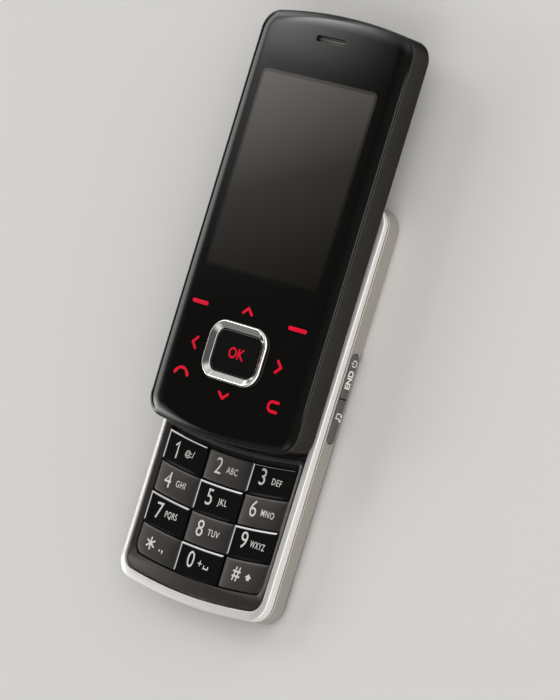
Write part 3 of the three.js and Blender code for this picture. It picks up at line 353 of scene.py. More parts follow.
rim_rings = [base_ring(rim_low, edge_round), base_ring(rim_low + edge_round)]
rim_rings += [rim_ring(outer_round * inset, rim_crown + outer_round * drop)
              for drop, inset in quarter(6)]
for part in [step / 8 for step in range(1, 8)]:
    inset, end_inset = [outer_round + (width - outer_round - inner_round) * part
                        for width in (rim_side, rim_end)]
    rim_rings.append(rim_ring(inset, rim_crown * (2 * part - 1) ** 2, end_inset))
rim_rings += [rim_ring(rim_side - inner_round * inset, rim_crown + inner_round * drop,
                       rim_end - inner_round * inset) for inset, drop in quarter(4)]
rim_rings.append(base_ring(rim_low, rim_side, rim_end))
piece("rim_band", skin(rim_rings, closed=True), silver_lacquer, "base",
      ["chrome_rim"])

# Boards and sheets inside the lower half, dressed on their CAD solids: solder-masked boards,
# tinned cans, moulded nylon blocks, the wrapped battery, the silicone mat and the slide's steel.


def dress(material, *names):
    for name in names:
        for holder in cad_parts[name].material_slots:
            holder.material = material


# Solder mask is green and blotched by the copper under it. The metals are rolled, tinned or bare.
solder_mask = finish("solder_mask", ("#1f5230", "#184327"), (0.3, 0.5), 0.6, 0.02,
                     {"IOR": 1.5}, patch=2)
steel = finish("rolled_spring_steel", ("#bcbbb6", "#a5a49f"), (0.25, 0.42), 0.4, 0.004,
               {"Metallic": 1}, stretch=(1, 0.08, 1))
tinned_steel = finish("tinned_steel", ("#c4c4c0", "#b0b0ac"), (0.28, 0.4), 0.8, 0.004,
                      {"Metallic": 1})
copper = finish("copper_foil", ("#c07c3c", "#a86a30"), (0.3, 0.45), 0.5, 0.005, {"Metallic": 1})
# The plastics go from matt rubber through grained nylon to smooth film
silicone_rubber = finish("silicone_rubber", ("#1d1c1b", "#171615"), (0.65, 0.8), 0.5, 0.01,
                         {"IOR": 1.41})
black_nylon = finish("black_nylon", ("#1b1a1a", "#141313"), (0.45, 0.6), 0.35, 0.01, {"IOR": 1.53})
battery_film = finish("battery_shrink_film", ("#3c3f45", "#33363b"), (0.38, 0.5), 1.2, 0.01,
                      {"IOR": 1.5})
polyimide = finish("polyimide_film", ("#8a5a1e", "#7a4c16"), (0.3, 0.4), 0.8, 0.004, {"IOR": 1.7})
dress(solder_mask, "main_board", "side_switch_right", "side_switch_left")
dress(tinned_steel, "shield_can", "charge_socket", "microphone")
dress(black_nylon, "sim_holder", "speaker")
dress(copper, "antenna")
dress(battery_film, "battery")
dress(silicone_rubber, "keypad_mat")
dress(steel, "dome_sheet", "slide_plate", "slide_spring", "slide_rail_left", "slide_rail_right")

# Flat cable between the halves: polyimide film with copper tracks. It comes out of the deck, turns
# in a tight fold and goes up into the upper half, and rides on neither half.
cable_low, cable_high, cable_foot, cable_head = 6.475, 7.495, 5.05, 9.47
cable_half, cable_half_width = 0.075, 4
cable_start, cable_turn, cable_end = -26.1, 4.49, 2.0
cable_sides = []
for side in (-cable_half, cable_half):
    fold = arc(cable_turn, (cable_low + cable_high) / 2, (cable_high - cable_low) / 2 + side,
               -90, 90, 24)
    cable_sides.append([(cable_start + side, cable_foot), (cable_start + side, cable_low - side)]
                       + fold + [(cable_end + side, cable_high + side),
                                 (cable_end + side, cable_head)])
cable_outline = cable_sides[0] + cable_sides[1][::-1]
cable_film = skin([across(cable_outline, x) for x in (-cable_half_width, cable_half_width)])
cable = piece("flat_cable", cable_film, polyimide, None, ["slide_flex"])
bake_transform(cable)

# Rim bead: a thin ring of matt black silicone rubber between the rim and the housing. It is painted
# shade: a dark band put in the parting line between the two so that it reads dark.
shade_band_out, shade_band_in, shade_band_low, shade_band_high = 0.3, 1.0, 4.54, 4.88
shade_band = [base_ring(z, inset) for inset, z in (
    (shade_band_out, shade_band_low), (shade_band_out, shade_band_high), (shade_band_in, shade_band_high), (shade_band_in, shade_band_low))]
piece("rim_shade_band", skin(shade_band, closed=True), silicone_rubber, "base")

# Keypad bezel and deck: one moulding line of the front. The bezel is painted satin brown-grey round
# the keys, and the deck is left black under the upper half, where it only shows at a low angle.
brown_paint = finish("satin_brown_paint", ("#4a4643", "#433f3c"), (0.28, 0.34), 0.25, 0.002,
                     {"IOR": 1.5, "Metallic": 0.6})
deck_edge, deck_gap, deck_low, edge_gap = -31.3, 0.1, 5.35, 0.15
cable_slot = (-4.3, 4.3), (-27.0, -25.2), (4, 8)
keys_half_width, column_edge = 20.9, 7.21
keys_bottom, keys_top, key_pitch = -62.9, -33.3, 7.4
bezel_low, bezel_high, bezel_gap, bezel_corner, bezel_round = 5.05, 7.0, 0.42, 1.1, 0.22
field, deep_field = (0.1, 0.1, 0.9, 2.6), (0.95, 0.95, 0.95, 3.3)
flared_field, flare, deep_high = (1.2, 0.1, 0.9, 2.6), (6.68, 7.02), 5.75
hole_low, hole_high, hole_sides = 4, 5.85, 20


def key_field(side, low, high, corner):
    """The outline of all the keys with a margin at the sides, the near end and the far end."""
    far_corner = 0.5
    box = soft_box((-keys_half_width - side, keys_half_width + side),
                   (keys_bottom - low, keys_top + high),
                   [corner, corner, far_corner, far_corner], along=36)
    return [(x, y + bow(x)) for x, y in box]


def screw_holes(places):
    return [rod(x, y, bore_radius, hole_low, hole_high, hole_sides) for x, y in places]


bezel_side = body_outline(base_middle, rim_side + bezel_gap, rim_end + bezel_gap)
low_part = [i for i, (x, y) in enumerate(bezel_side) if y < deck_edge + bow(x)]
bezel_width = half_width - rim_side - bezel_gap
bezel_top = [(x, deck_edge + bow(x)) for x in [bezel_width * (1 - i / 18) for i in range(37)]]
bezel = cut(slab(bezel_side[low_part[0]:low_part[-1] + 1] + bezel_top, bezel_low, bezel_high), [
    slab(key_field(*field), 4, 9),
    slab(key_field(*deep_field), 4, deep_high),
    skin([level(key_field(*field), flare[0]), level(key_field(*flared_field), flare[1])]),
    *screw_holes(case_screws[:2]),
])
bezel = softened(bezel, bezel_corner, 6,
                 lambda a, b: a.y > -31 and abs(a.x) > 22 and abs(a.z - b.z) > 0.5)
bezel = softened(bezel, bezel_round, 3, lambda a, b: min(a.z, b.z) > bezel_high - 0.01)
piece("bezel_frame", bezel, brown_paint, "base", ["keypad_bezel"], sharp=50)
inside_rim = body_outline(base_middle, rim_side + deck_gap, rim_end + deck_gap)
deck = cut(slab(above(inside_rim, deck_edge + edge_gap), deck_low, open_top),
           [block(*cable_slot), *screw_holes(case_screws[2:])])
piece("deck_plate", deck, black_nylon, "base", ["base_deck"])

# Twelve number keys: hard caps of injection-moulded polycarbonate, glued to the mat, in a
# checkerboard. The odd keys and 0 are glossy black, dished, with a raised ridge at the left and the
# far side that catches the light. The others are satin grey pillows.
black_cap = finish("gloss_black_polycarbonate", ("#0c0b0b", "#080808"), (0.05, 0.08), 3, 0.0003,
                   {"IOR": 1.58, "Coat Weight": 1, "Coat IOR": 2.1, "Coat Roughness": 0.05})
grey_cap = finish("satin_grey_polycarbonate", ("#524f4c", "#4b4846"), (0.34, 0.4), 3, 0.0003,
                  {"Metallic": 0.85})
key_names = ["1", "2", "3", "4", "5", "6", "7", "8", "9", "star", "0", "hash"]
key_low, key_high, key_gap, key_corner, outer_corner = 6.0, 6.9, 0.125, 0.35, 2.5
dish_depth, pillow_across, pillow_along, pillow_in, pillow_drop = 0.05, 0.28, 0.14, 0.55, 0.3
ridge_slope, ridge_left, ridge_far, ridge_foot = 0.27, 0.66, 0.48, 0.05
sharp_drop, sharp_inset = 0.02, 0.05
dish_edges = [(inset, 0) for inset in (0, 0.04, 0.1, 0.25, 0.4, 0.48, 0.57, 0.66)]
pillow_edges = [(pillow_in * inset, pillow_drop * drop) for drop, inset in quarter(7)] + [(0.6, 0)]
face_insets = (0.75, 0.9, 1.15, 1.4, 1.7, 2.0, 2.4, 2.8, 3.2)
key_places = {}


def key_ring(x, y, radii, inset=0):
    """A key's outline, drawn in and bowed like the ends of the phone."""
    return [(px, py + bow(px)) for px, py in soft_box(x, y, radii, inset, turn=5, along=16)]


for i, name in enumerate(key_names):
    column, row, dished = i % 3, i // 3, i % 2 == 0
    slot = "dark_key" if dished else "light_key"
    borders = [-keys_half_width, -column_edge, column_edge, keys_half_width]
    x = (borders[column] + key_gap, borders[column + 1] - key_gap)
    y = (keys_top - (row + 1) * key_pitch + key_gap, keys_top - row * key_pitch - key_gap)
    middle = ((x[0] + x[1]) / 2, (y[0] + y[1]) / 2)
    half = ((x[1] - x[0]) / 2, (y[1] - y[0]) / 2)
    radii = [outer_corner if (name, corner) in (("star", 0), ("hash", 1)) else key_corner
             for corner in range(4)]

    def key_face(px, py, middle=middle, half=half, dished=dished):
        """The height of a key's face: a shallow dish or a pillow."""
        u = min(1, abs((px - middle[0]) / half[0]))
        v = min(1, abs((py - bow(px) - middle[1]) / half[1]))
        if dished:
            return key_high - dish_depth * (1 - u ** 5) * (1 - v ** 4)
        return key_high - pillow_across * u ** 3 - pillow_along * v ** 3

    def ridge(px, py, inset):
        """How far a dished cap falls to its left and far sides; the others end in a sharp edge."""
        py -= bow(px)
        left, far, near = px - x[0], y[1] - py, min(x[1] - px, py - y[0])
        if near < min(left, far) - 0.001:
            return sharp_drop
        width = ridge_left if left < far else ridge_far
        foot = ridge_foot if inset == 0 else sharp_drop if inset < sharp_inset else 0
        return ridge_slope * max(0, width - inset) + foot

    key_places[name] = (middle, key_face, slot)
    rings = [level(key_ring(x, y, radii), key_low)]
    for inset, drop in dish_edges if dished else pillow_edges:
        rings.append([(px, py, key_face(px, py) - (ridge(px, py, inset) if dished else drop))
                      for px, py in key_ring(x, y, radii, inset)])
    rings += [level(key_ring(x, y, radii, inset), key_face) for inset in face_insets]
    body = "key_" + name
    piece(body + "_cap", skin(rings), black_cap if dished else grey_cap, body, [body])

# Slider frame: a die-cast ring that is the upper half's whole side wall, blasted and painted in a
# satin dark metallic. Four bosses inside take the screws of the back cover.
dark_paint = finish("satin_dark_metal_paint", ("#43413e", "#3c3a38"), (0.22, 0.3), 0.12, 0.0008,
                    {"Metallic": 0.9, "Specular Tint": (0.3, 0.3, 0.3, 1)})
slider_low, frame_high, frame_wall, frame_round = 7.67, 13.08, 1.3, 0.25
boss_radius, boss_low, boss_high, boss_bore, boss_bore_high = 1.8, 8.37, 10.27, 0.7, 10.07
back_screws = [(-21.2, -24.1), (21.2, -24.1), (-5.2, 66.0), (5.2, 66.0)]
frame_profile = [(frame_round * inset, slider_low + frame_round * high)
                 for inset, high in quarter(3)]
frame_profile += [(frame_round * inset, frame_high - frame_round * drop)
                  for drop, inset in quarter(3)]
frame_profile += [(frame_wall, frame_high), (frame_wall, slider_low)]
wall = skin([level(body_outline(slider_middle, inset), z) for inset, z in frame_profile],
            closed=True)
bosses = [cut(rod(x, y, boss_radius, boss_low, boss_high),
              [rod(x, y, boss_bore, 8, boss_bore_high, 20)]) for x, y in back_screws]
piece("slider_wall", merged(wall, *bosses), dark_paint, "slider", ["slider_frame"])

# Back cover of the upper half, the camera behind its window, and the boards inside the upper half,
# dressed on their CAD solids. Both glasses are near black and far smoother than the cover.
camera_glass = finish("camera_glass", ("#11151a", "#0c0f13"), (0.02, 0.04), 3, 0.0005,
                      {"IOR": 1.52})
lcd_glass = finish("lcd_glass", ("#1c1b19", "#171614"), (0.04, 0.08), 3, 0.0005, {"IOR": 1.52})
dress(moulded_grain, "slider_back_cover")
dress(camera_glass, "camera_window")
dress(black_nylon, "camera_module", "earpiece_receiver")
dress(solder_mask, "touch_board", "slider_board")
dress(tinned_steel, "vibration_motor")
dress(lcd_glass, "display_module")

# Front panel: one crowned sheet of clear acrylic, printed black from behind except for the display
# window. Its edge falls in a wide soft shoulder and ends in a tight corner.
panel_low, panel_high, panel_inset = 13.2, 15.2, 0.2
crown_radius, end_ease, end_drop = 235, 14, 0.6
window_x, window_y, window_corner = (-18.3, 18.3), (6.6, 53.6), 1.5
ring_x, ring_y, ring_corner, ring_lap = (-9.15, 9.15), (-18.0, -4.2), 4.4, 0.4
slot_x, slot_y, slot_corner = (-4.65, 4.65), (61.95, 63.45), 0.74
shoulder = [(0, 0.69), (0.06, 0.6), (0.2, 0.475), (0.5, 0.385), (0.85, 0.28), (1.05, 0.222),
            (1.25, 0.174), (1.5, 0.129), (1.8, 0.09), (2.2, 0.05), (2.6, 0.022), (3.0, 0.006),
            (3.4, 0)]
face_steps, spine_share, panel_cut = 24, 0.2, (11, 18)


def panel_face(x, y):
    """The crowned face, which also falls a little toward both ends."""
    ease = max(0, 1 - (body_length / 2 - abs(y - slider_middle)) / end_ease)
    return panel_high - crown_radius + math.sqrt(crown_radius ** 2 - x ** 2) - end_drop * ease ** 2


def ring_outline(inset, turn=14):
    return soft_box(ring_x, ring_y, [ring_corner] * 4, inset, turn)


panel_rings = [level(body_outline(slider_middle, panel_inset), panel_low)]
for inset, drop in shoulder:
    panel_rings.append(level(body_outline(slider_middle, panel_inset + inset),
                             lambda x, y: max(panel_face(x, y) - drop, panel_low + edge_round)))
inner = body_outline(slider_middle, panel_inset + shoulder[-1][0])
for part in [1 - i / face_steps for i in range(1, face_steps)]:
    along = spine_share + (1 - spine_share) * part
    panel_rings.append(level([(x * part, slider_middle + (y - slider_middle) * along)
                              for x, y in inner], panel_face))
panel = cut(skin(panel_rings), [
    slab(ring_outline(ring_lap, 12), *panel_cut),
    slab(soft_box(slot_x, slot_y, [slot_corner] * 4, turn=10), *panel_cut),
])


def chain(tree, value, *steps):
    """A value taken through steps of arithmetic, each with its other number or socket."""
    for operation, other in steps:
        value = add(tree, "ShaderNodeMath", {0: value, 1: other}, operation=operation)
    return value


def ramp(tree, source, low, high, stops):
    """A colour ramp over a range in millimetres."""
    part = add(tree, "ShaderNodeMapRange",
               {"From Min": low * mm, "From Max": high * mm, "Value": source})
    band = add(tree, "ShaderNodeValToRGB", {"Fac": part})
    while len(band.color_ramp.elements) < len(stops):
        band.color_ramp.elements.new(0.5)
    for element, (place_at, colour) in zip(band.color_ramp.elements, stops):
        element.position, element.color = place_at, linear(colour)
    return band


# Printed acrylic: a sharp gloss over ink that is near black, and over a window that has a soft dark
# border and a painted reflection that makes it lighter at its far left. The distance from the
# window's edge tells which.
printed_acrylic_with_painted_sheen, tree, shader = coated("back_printed_acrylic", {"IOR": 1.5, "Roughness": 0.03})
place = add(tree, "ShaderNodeTexCoord").outputs["Object"]
spot = add(tree, "ShaderNodeSeparateXYZ", {0: place}).outputs
sides = [chain(tree, spot[axis], ("SUBTRACT", (low + high) / 2 * mm), ("ABSOLUTE", 0),
               ("SUBTRACT", ((high - low) / 2 - window_corner) * mm))
         for axis, (low, high) in (("X", window_x), ("Y", window_y))]
outer = add(tree, "ShaderNodeCombineXYZ",
            {i: chain(tree, side, ("MAXIMUM", 0)) for i, side in enumerate(sides)})
length = add(tree, "ShaderNodeVectorMath", {0: outer}, operation="LENGTH")
away = chain(tree, sides[0], ("MAXIMUM", sides[1]), ("MINIMUM", 0),
             ("ADD", length.outputs["Value"]), ("SUBTRACT", window_corner * mm))
# The window's ramp from near black to warm grey towards its far left is a painted reflection
slant, painted_sheen_start, painted_sheen_end = -0.39, -0.5, 60.7
border_width, blur, ink_patch = 0.9, 0.03, 12
height = chain(tree, spot["X"], ("MULTIPLY", slant), ("ADD", spot["Y"]))
painted_sheen = ramp(tree, height, painted_sheen_start, painted_sheen_end, [(0, "#171613"), (0.5, "#33302d"), (1, "#65605c")])
border = ramp(tree, away, -border_width, 0.02, [(0, "#ffffff"), (0.25, "#c8c8c8"), (1, "#c0c0c0")])
toned = add(tree, "ShaderNodeMix", {0: 1, 6: painted_sheen, 7: border}, data_type="RGBA",
            blend_type="MULTIPLY")
grain = add(tree, "ShaderNodeTexNoise",
            {"Scale": 1 / (ink_patch * mm), "Detail": 2, "Vector": place})
printed = add(tree, "ShaderNodeMix",
              {0: grain, 6: linear("#11100f"), 7: linear("#0d0d0c")},
              data_type="RGBA")
outside = add(tree, "ShaderNodeMapRange",
              {"From Min": -blur * mm, "From Max": blur * mm, "Value": away})
seen = add(tree, "ShaderNodeMix", {0: outside, 6: toned.outputs[2], 7: printed.outputs[2]},
           data_type="RGBA")
tree.links.new(seen.outputs[2], shader.inputs["Base Color"])
piece("panel_sheet", panel, printed_acrylic_with_painted_sheen, "slider", ["front_panel"], sharp=40)

# OK ring: a chrome-plated moulding pressed into the panel. It stands up in a thin crest that
# glints, and slopes down to the key like a funnel.
chrome = finish("polished_chrome", ("#f2f0ec", "#e8e6e2"), (0.08, 0.13), 2.5, 0.001,
                {"Metallic": 1})
ring_profile = [(0.5, 13.3), (0.5, 15.22), (0.12, 15.25), (0.02, 15.3), (0, 15.4), (0.02, 15.55),
                (0.08, 15.7), (0.18, 15.81), (0.3, 15.87), (0.42, 15.9), (0.52, 15.875),
                (0.62, 15.825), (0.9, 15.68), (1.4, 15.42), (1.7, 15.265), (1.84, 15.185),
                (1.9, 15.07), (1.9, 13.3)]
ring = skin([level(ring_outline(inset), z) for inset, z in ring_profile], closed=True)
piece("ok_ring_band", ring, chrome, "slider", ["ok_ring"])

# OK key: a flat gloss black cap inside the ring, with its letters printed in crimson. Its ABS is
# smoother than the number keys' face and has no coat, so it stays black at a low angle.
gloss_abs = finish("gloss_black_abs", ("#171615", "#131212"), (0.05, 0.08), 3, 0.0003, {"IOR": 1.5})
okay_low, okay_high, okay_inset, okay_round, okay_face = 13.3, 14.95, 2.05, 0.15, (2.3, 2.8, 4)
okay = [level(ring_outline(okay_inset), okay_low)]
okay += [level(ring_outline(okay_inset + okay_round * inset), okay_high - okay_round * drop)
         for drop, inset in quarter(4)]
okay += [level(ring_outline(inset), okay_high) for inset in okay_face]
piece("ok_key_cap", skin(okay), gloss_abs, "ok_key", ["ok_key"])

# Side keys, volume rocker and socket cap: moulded caps with round ends that look out through pill
# windows in the wall. A flange inside keeps the keys in; a tongue holds the cap in the socket.
side_cap = finish("satin_grey_abs", ("#4d4b49", "#454341"), (0.3, 0.4), 0.3, 0.005, {"IOR": 1.54})
button_out, button_round, split_corner, button_back, cap_back = 24.28, 0.35, 0.2, 22.25, 22.8


def side_button(name, side, along, corners, back, flange, body):
    """A cap that stands 0.3 mm proud of the wall, and its flange or tongue."""
    rings = [across(soft_box(along, button_z, corners, turn=10), side * back)]
    rings += [across(soft_box(along, button_z, corners, button_round * inset, 10),
                     side * (button_out - button_round * drop)) for drop, inset in quarter(5)]
    piece(name, merged(skin(rings), block(*flange)), side_cap, body, [body])


low_split = [split_corner, button_corner, button_corner, split_corner]
high_split = [button_corner, split_corner, split_corner, button_corner]
side_button("end_key_cap", 1, end_slot, low_split, button_back,
            [(22.25, 22.65), (-13.9, -2.8), button_z], "end_key")
side_button("music_key_cap", 1, music_slot, high_split, button_back,
            [(22.25, 22.65), (-24.9, -14.1), button_z], "music_key")
side_button("rocker_cap", -1, rocker_slot, [button_corner] * 4, button_back,
            [(-22.5, -22.25), (-24.6, -5.4), button_z], "volume_rocker")
side_button("socket_cap", -1, cap_slot, [button_corner] * 4, cap_back,
            [(-22.85, -21), (2.55, 9.05), (2.0, 3.5)], "socket_cover")

# Screws: black-zinc machine screws with a cross recess. The four of the base stand in deep seats,
# the four of the upper half sit nearly flush in its back cover.
black_zinc = finish("black_zinc_steel", ("#3b3b3d", "#2c2c2e"), (0.25, 0.4), 0.3, 0.006,
                    {"Metallic": 0.9})


def instances(tree, places, shape):
    """A copy of a shape at each point, as real geometry."""
    placed = add(tree, "GeometryNodeInstanceOnPoints", {"Points": places, "Instance": shape})
    return add(tree, "GeometryNodeRealizeInstances", {0: placed})


def grown(name, form, points, lengths, material):
    """The plain mesh of a geometry tree whose nodes `form` adds; points and lengths in mm."""
    tree = bpy.data.node_groups.new(name, "GeometryNodeTree")
    new = tree.interface.new_socket
    new(name="Places", in_out="INPUT", socket_type="NodeSocketGeometry")
    values = {new(name=label, in_out="INPUT", socket_type="NodeSocketFloat").identifier:
              length * mm for label, length in lengths.items()}
    coat = new(name="Finish", in_out="INPUT", socket_type="NodeSocketMaterial")
    values[coat.identifier] = material
    new(name="Shape", in_out="OUTPUT", socket_type="NodeSocketGeometry")
    given = add(tree, "NodeGroupInput").outputs
    faced = add(tree, "GeometryNodeSetMaterial",
                {"Geometry": form(tree, given), "Material": given["Finish"]})
    add(tree, "NodeGroupOutput", {0: faced})
    mesh = bpy.data.meshes.new(name)
    mesh.from_pydata([Vector(point) * mm for point in points], [], [])
    thing = linked(name, mesh)
    step = thing.modifiers.new(name, "NODES")
    step.node_group = tree
    for identifier, value in values.items():
        step[identifier] = value
    return outcome(thing)


def screw_form(tree, given):
    """A screw with a cross recess at each place, its head's middle on the point."""
    head = add(tree, "GeometryNodeMeshCylinder",
               {"Vertices": 32, "Radius": given["Head radius"], "Depth": given["Head height"]})
    cross = add(tree, "GeometryNodeMeshBoolean", operation="UNION")
    for turned in (0, 1):
        size = add(tree, "ShaderNodeCombineXYZ", {turned: given["Recess width"],
                                                  1 - turned: given["Head radius"],
                                                  2: given["Recess depth"]})
        bar = add(tree, "GeometryNodeMeshCube", {"Size": size})
        tree.links.new(bar.outputs["Mesh"], cross.inputs[1])
    shank = add(tree, "GeometryNodeMeshCylinder",
                {"Vertices": 20, "Radius": given["Shank radius"], "Depth": given["Shank length"]})
    half_head = chain(tree, given["Head height"], ("MULTIPLY", 0.5))
    reach = chain(tree, given["Shank length"], ("MULTIPLY", 0.5), ("ADD", half_head))
    seated = []
    for part, height in ((cross, chain(tree, half_head, ("MULTIPLY", -1))), (shank, reach)):
        way = add(tree, "ShaderNodeCombineXYZ", {2: height})
        seated.append(add(tree, "GeometryNodeTransform", {"Geometry": part, "Translation": way}))
    driven = add(tree, "GeometryNodeMeshBoolean", {0: head, 1: seated[0]}, operation="DIFFERENCE")
    screw = add(tree, "GeometryNodeJoinGeometry", {0: driven})
    tree.links.new(seated[1].outputs[0], screw.inputs[0])
    return instances(tree, given["Places"], screw)


def screws(name, places, low, head_radius, head_height, shank_radius, top, body, nodes):
    """Screws whose heads start at a low plane and whose shanks end at a top one."""
    shape = grown(name, screw_form, [(x, y, low + head_height / 2) for x, y in places],
                  {"Head radius": head_radius, "Head height": head_height,
                   "Shank radius": shank_radius, "Shank length": top - low - head_height,
                   "Recess width": head_radius * 0.32, "Recess depth": head_height * 1.1},
                  black_zinc)
    piece(name, shape, black_zinc, body, [nodes + str(i) for i in range(1, 5)])


screws("case_screw_set", case_screws, 1.0, 1.4, 0.8, 0.7, 5.65, "base", "case_screw_")
screws("slider_screw_set", back_screws, 7.72, 1.14, 0.3, 0.6, 9.97, "slider", "slider_screw_")

# Earpiece mesh: a photo-etched steel strip behind the slot, with two rows of round holes. It is
# satin and a little dark, so the holes read as a texture.
etched_steel = finish("etched_steel", ("#77756f", "#66645f"), (0.3, 0.45), 0.3, 0.004,
                      {"Metallic": 0.9})
strip_y, strip_z, hole_pitch, hole_count = 62.7, 14.06, 0.65, 14
hole_places = [(hole_pitch * (i - (hole_count - 1) / 2), strip_y + hole_pitch / 2 * side, strip_z)
               for i in range(hole_count) for side in (-1, 1)]


def strip_form(tree, given):
    """A flat strip with a round hole at each place."""
    size = add(tree, "ShaderNodeCombineXYZ",
               {0: given["Length"], 1: given["Width"], 2: given["Thickness"]})
    sheet = add(tree, "GeometryNodeMeshCube", {"Size": size})
    seat = add(tree, "GeometryNodeTransform",
               {"Geometry": sheet, "Translation": Vector((0, strip_y, strip_z)) * mm})
    punch_depth = chain(tree, given["Thickness"], ("MULTIPLY", 2))
    punch = add(tree, "GeometryNodeMeshCylinder",
                {"Vertices": 16, "Radius": given["Hole radius"], "Depth": punch_depth})
    punched = instances(tree, given["Places"], punch)
    return add(tree, "GeometryNodeMeshBoolean", {0: seat, 1: punched}, operation="DIFFERENCE")


strip = grown("earpiece_strip", strip_form, hole_places,
              {"Length": 9.1, "Width": 1.3, "Thickness": 0.3, "Hole radius": 0.2}, etched_steel)
piece("earpiece_strip", strip, etched_steel, "slider", ["earpiece_mesh"])

# Printed marks: crimson icons and letters lit by the lamps behind the panel, whose light is a faint
# painted glow in the crimson ink, and white legends on the keys and on the side keys. Each is a
# film of ink that lies a little proud of its face.
glowing_crimson_ink = finish("glowing_crimson_ink", ("#e00030", "#b80018"), (0.5, 0.6), 1.2, 0.0005,
                     {"IOR": 1.5, "Specular IOR Level": 0.1, "Emission Color": linear("#ff0038"),
                      "Emission Strength": 0.15})
white_ink = finish("white_ink", ("#dedbd6", "#d2cfca"), (0.4, 0.5), 0.8, 0.001, {"IOR": 1.5})
ink_proud, ink_thick, join_distance = 0.015, 0.03, 1e-7


def stroke(points, width):
    """A line with round ends as a flat strip."""
    sides = ([], [])
    for i, (x, y) in enumerate(points):
        before, after = points[max(i - 1, 0)], points[min(i + 1, len(points) - 1)]
        first = Vector((x - before[0], y - before[1])).normalized() if i else None
        second = Vector((after[0] - x, after[1] - y)).normalized() if i < len(points) - 1 else None
        run = ((first or second) + (second or first)).normalized()
        wide = width / 2 / max(run.dot(second or first), 0.5)
        sides[0].append((x - run.y * wide, y + run.x * wide))
        sides[1].append((x + run.y * wide, y - run.x * wide))
    shape = bmesh.new()
    rows = [[shape.verts.new((x * mm, y * mm, 0)) for x, y in side] for side in sides]
    for i in range(len(points) - 1):
        shape.faces.new((rows[1][i], rows[1][i + 1], rows[0][i + 1], rows[0][i]))
    for end, beside in ((0, 1), (-1, -2)):
        x, y = points[end]
        back = Vector((x - points[beside][0], y - points[beside][1]))
        start = math.degrees(math.atan2(back.y, back.x)) - 90
        cap = [shape.verts.new((px * mm, py * mm, 0))
               for px, py in arc(x, y, width / 2, start, start + 180, 10)[1:-1]]
        first, last = (rows[1][end], rows[0][end]) if end else (rows[0][end], rows[1][end])
        shape.faces.new([first] + cap + [last])
    return shape


def flat_mark(points):
    """A flat mark with straight edges."""
    shape = bmesh.new()
    shape.faces.new([shape.verts.new((x * mm, y * mm, 0)) for x, y in points])
    return shape


def letters(text, size, x, y, narrow, weight, spacing=1.0):
    """Flat lettering centred on a point."""
    curve = bpy.data.curves.new("letters", "FONT")
    curve.body, curve.size, curve.resolution_u = text, 1, 4
    curve.align_x, curve.align_y, curve.offset = "CENTER", "CENTER", weight
    curve.space_character = spacing
    shape = outcome(linked("letters", curve))
    for vertex in shape.verts:
        across_text, up_text = vertex.co.x * size * narrow, vertex.co.y * size
        vertex.co = Vector(((across_text + x) * mm, (up_text + y) * mm, 0))
    return shape


def ink(shapes, height):
    """Flat marks laid on a face and given their thickness."""
    shape = merged(*shapes)
    bmesh.ops.remove_doubles(shape, verts=shape.verts, dist=join_distance)
    for vertex in shape.verts:
        vertex.co.z = (height(vertex.co.x / mm, vertex.co.y / mm) + ink_proud) * mm
    bmesh.ops.recalc_face_normals(shape, faces=shape.faces)
    for face in shape.faces:
        if face.normal.z < 0:
            face.normal_flip()
    for grown in bmesh.ops.extrude_face_region(shape, geom=list(shape.faces))["geom"]:
        if isinstance(grown, bmesh.types.BMVert):
            grown.co.z -= ink_thick * mm
    return shape


# Each small legend: its text, its size, its place across from the key's middle and its narrowing
legends = {
    "1": [("@", 1.9, 1.0, 1), (":", 2.1, 2.15, 1), ("/", 2.2, 2.8, 1)],
    "2": [("ABC", 2.15, 1.9, 0.8)], "3": [("DEF", 2.15, 1.9, 0.8)],
    "4": [("GHI", 2.15, 1.7, 0.8)], "5": [("JKL", 2.15, 1.8, 0.84)],
    "6": [("MNO", 2.15, 2.0, 0.78)], "7": [("PQRS", 2.15, 1.55, 0.72)],
    "8": [("TUV", 2.15, 1.85, 0.82)], "9": [("WXYZ", 2.15, 1.8, 0.66)],
    "star": [(".", 3.6, 1.2, 1), (",", 3.6, 2.1, 1)], "0": [("+", 2.7, 0.5, 0.95)], "hash": [],
}
small_rise, small_weight, small_spacing = 0.05, 0.006, 1.14
digit_size, digit_left, digit_rise = 5.5, 2.6, 0.25
digit_narrow, digit_weight, digit_pen = 0.9, -0.002, 0.42
star_left, star_rise, star_arm = 2.1, 0.1, 1.35
one_points = [(-3.25, 1.25), (-2.45, 1.95), (-2.45, -1.6)]
arrow_points = [(1.45, -0.6), (2.35, -0.6), (2.35, 0), (2.9, 0), (1.9, 0.95), (0.9, 0), (1.45, 0)]
space_points, space_pen = [(1.9, -0.05), (1.9, -0.65), (3.2, -0.65), (3.2, -0.05)], 0.28


def moved(points, x, y):
    return [(px + x, py + y) for px, py in points]


for name, small in legends.items():
    middle, key_face, slot = key_places[name]
    x, y = middle[0], middle[1] + bow(middle[0])
    shapes = [letters(text, size, x + along, y + small_rise, narrow, small_weight, small_spacing)
              for text, size, along, narrow in small]
    if name == "star":
        for angle in [math.radians(turn) for turn in (0, 60, 120)]:
            reach_x, reach_y = star_arm * math.sin(angle), star_arm * math.cos(angle)
            shapes.append(stroke(moved([(-reach_x, -reach_y), (reach_x, reach_y)],
                                       x - star_left, y + star_rise), digit_pen))
    elif name == "hash":
        shapes += [letters("#", 4.6, x - 1.9, y + 0.2, 0.88, 0.01),
                   flat_mark(moved(arrow_points, x, y))]
    elif name == "1":
        shapes.append(stroke(moved(one_points, x, y), digit_pen))
    else:
        shapes.append(letters(name, digit_size, x - digit_left, y + digit_rise, digit_narrow,
                              digit_weight))
    if name == "0":
        shapes.append(stroke(moved(space_points, x, y), space_pen))
    piece("legend_" + name, ink(shapes, key_face), white_ink, "key_" + name, sharp=20)

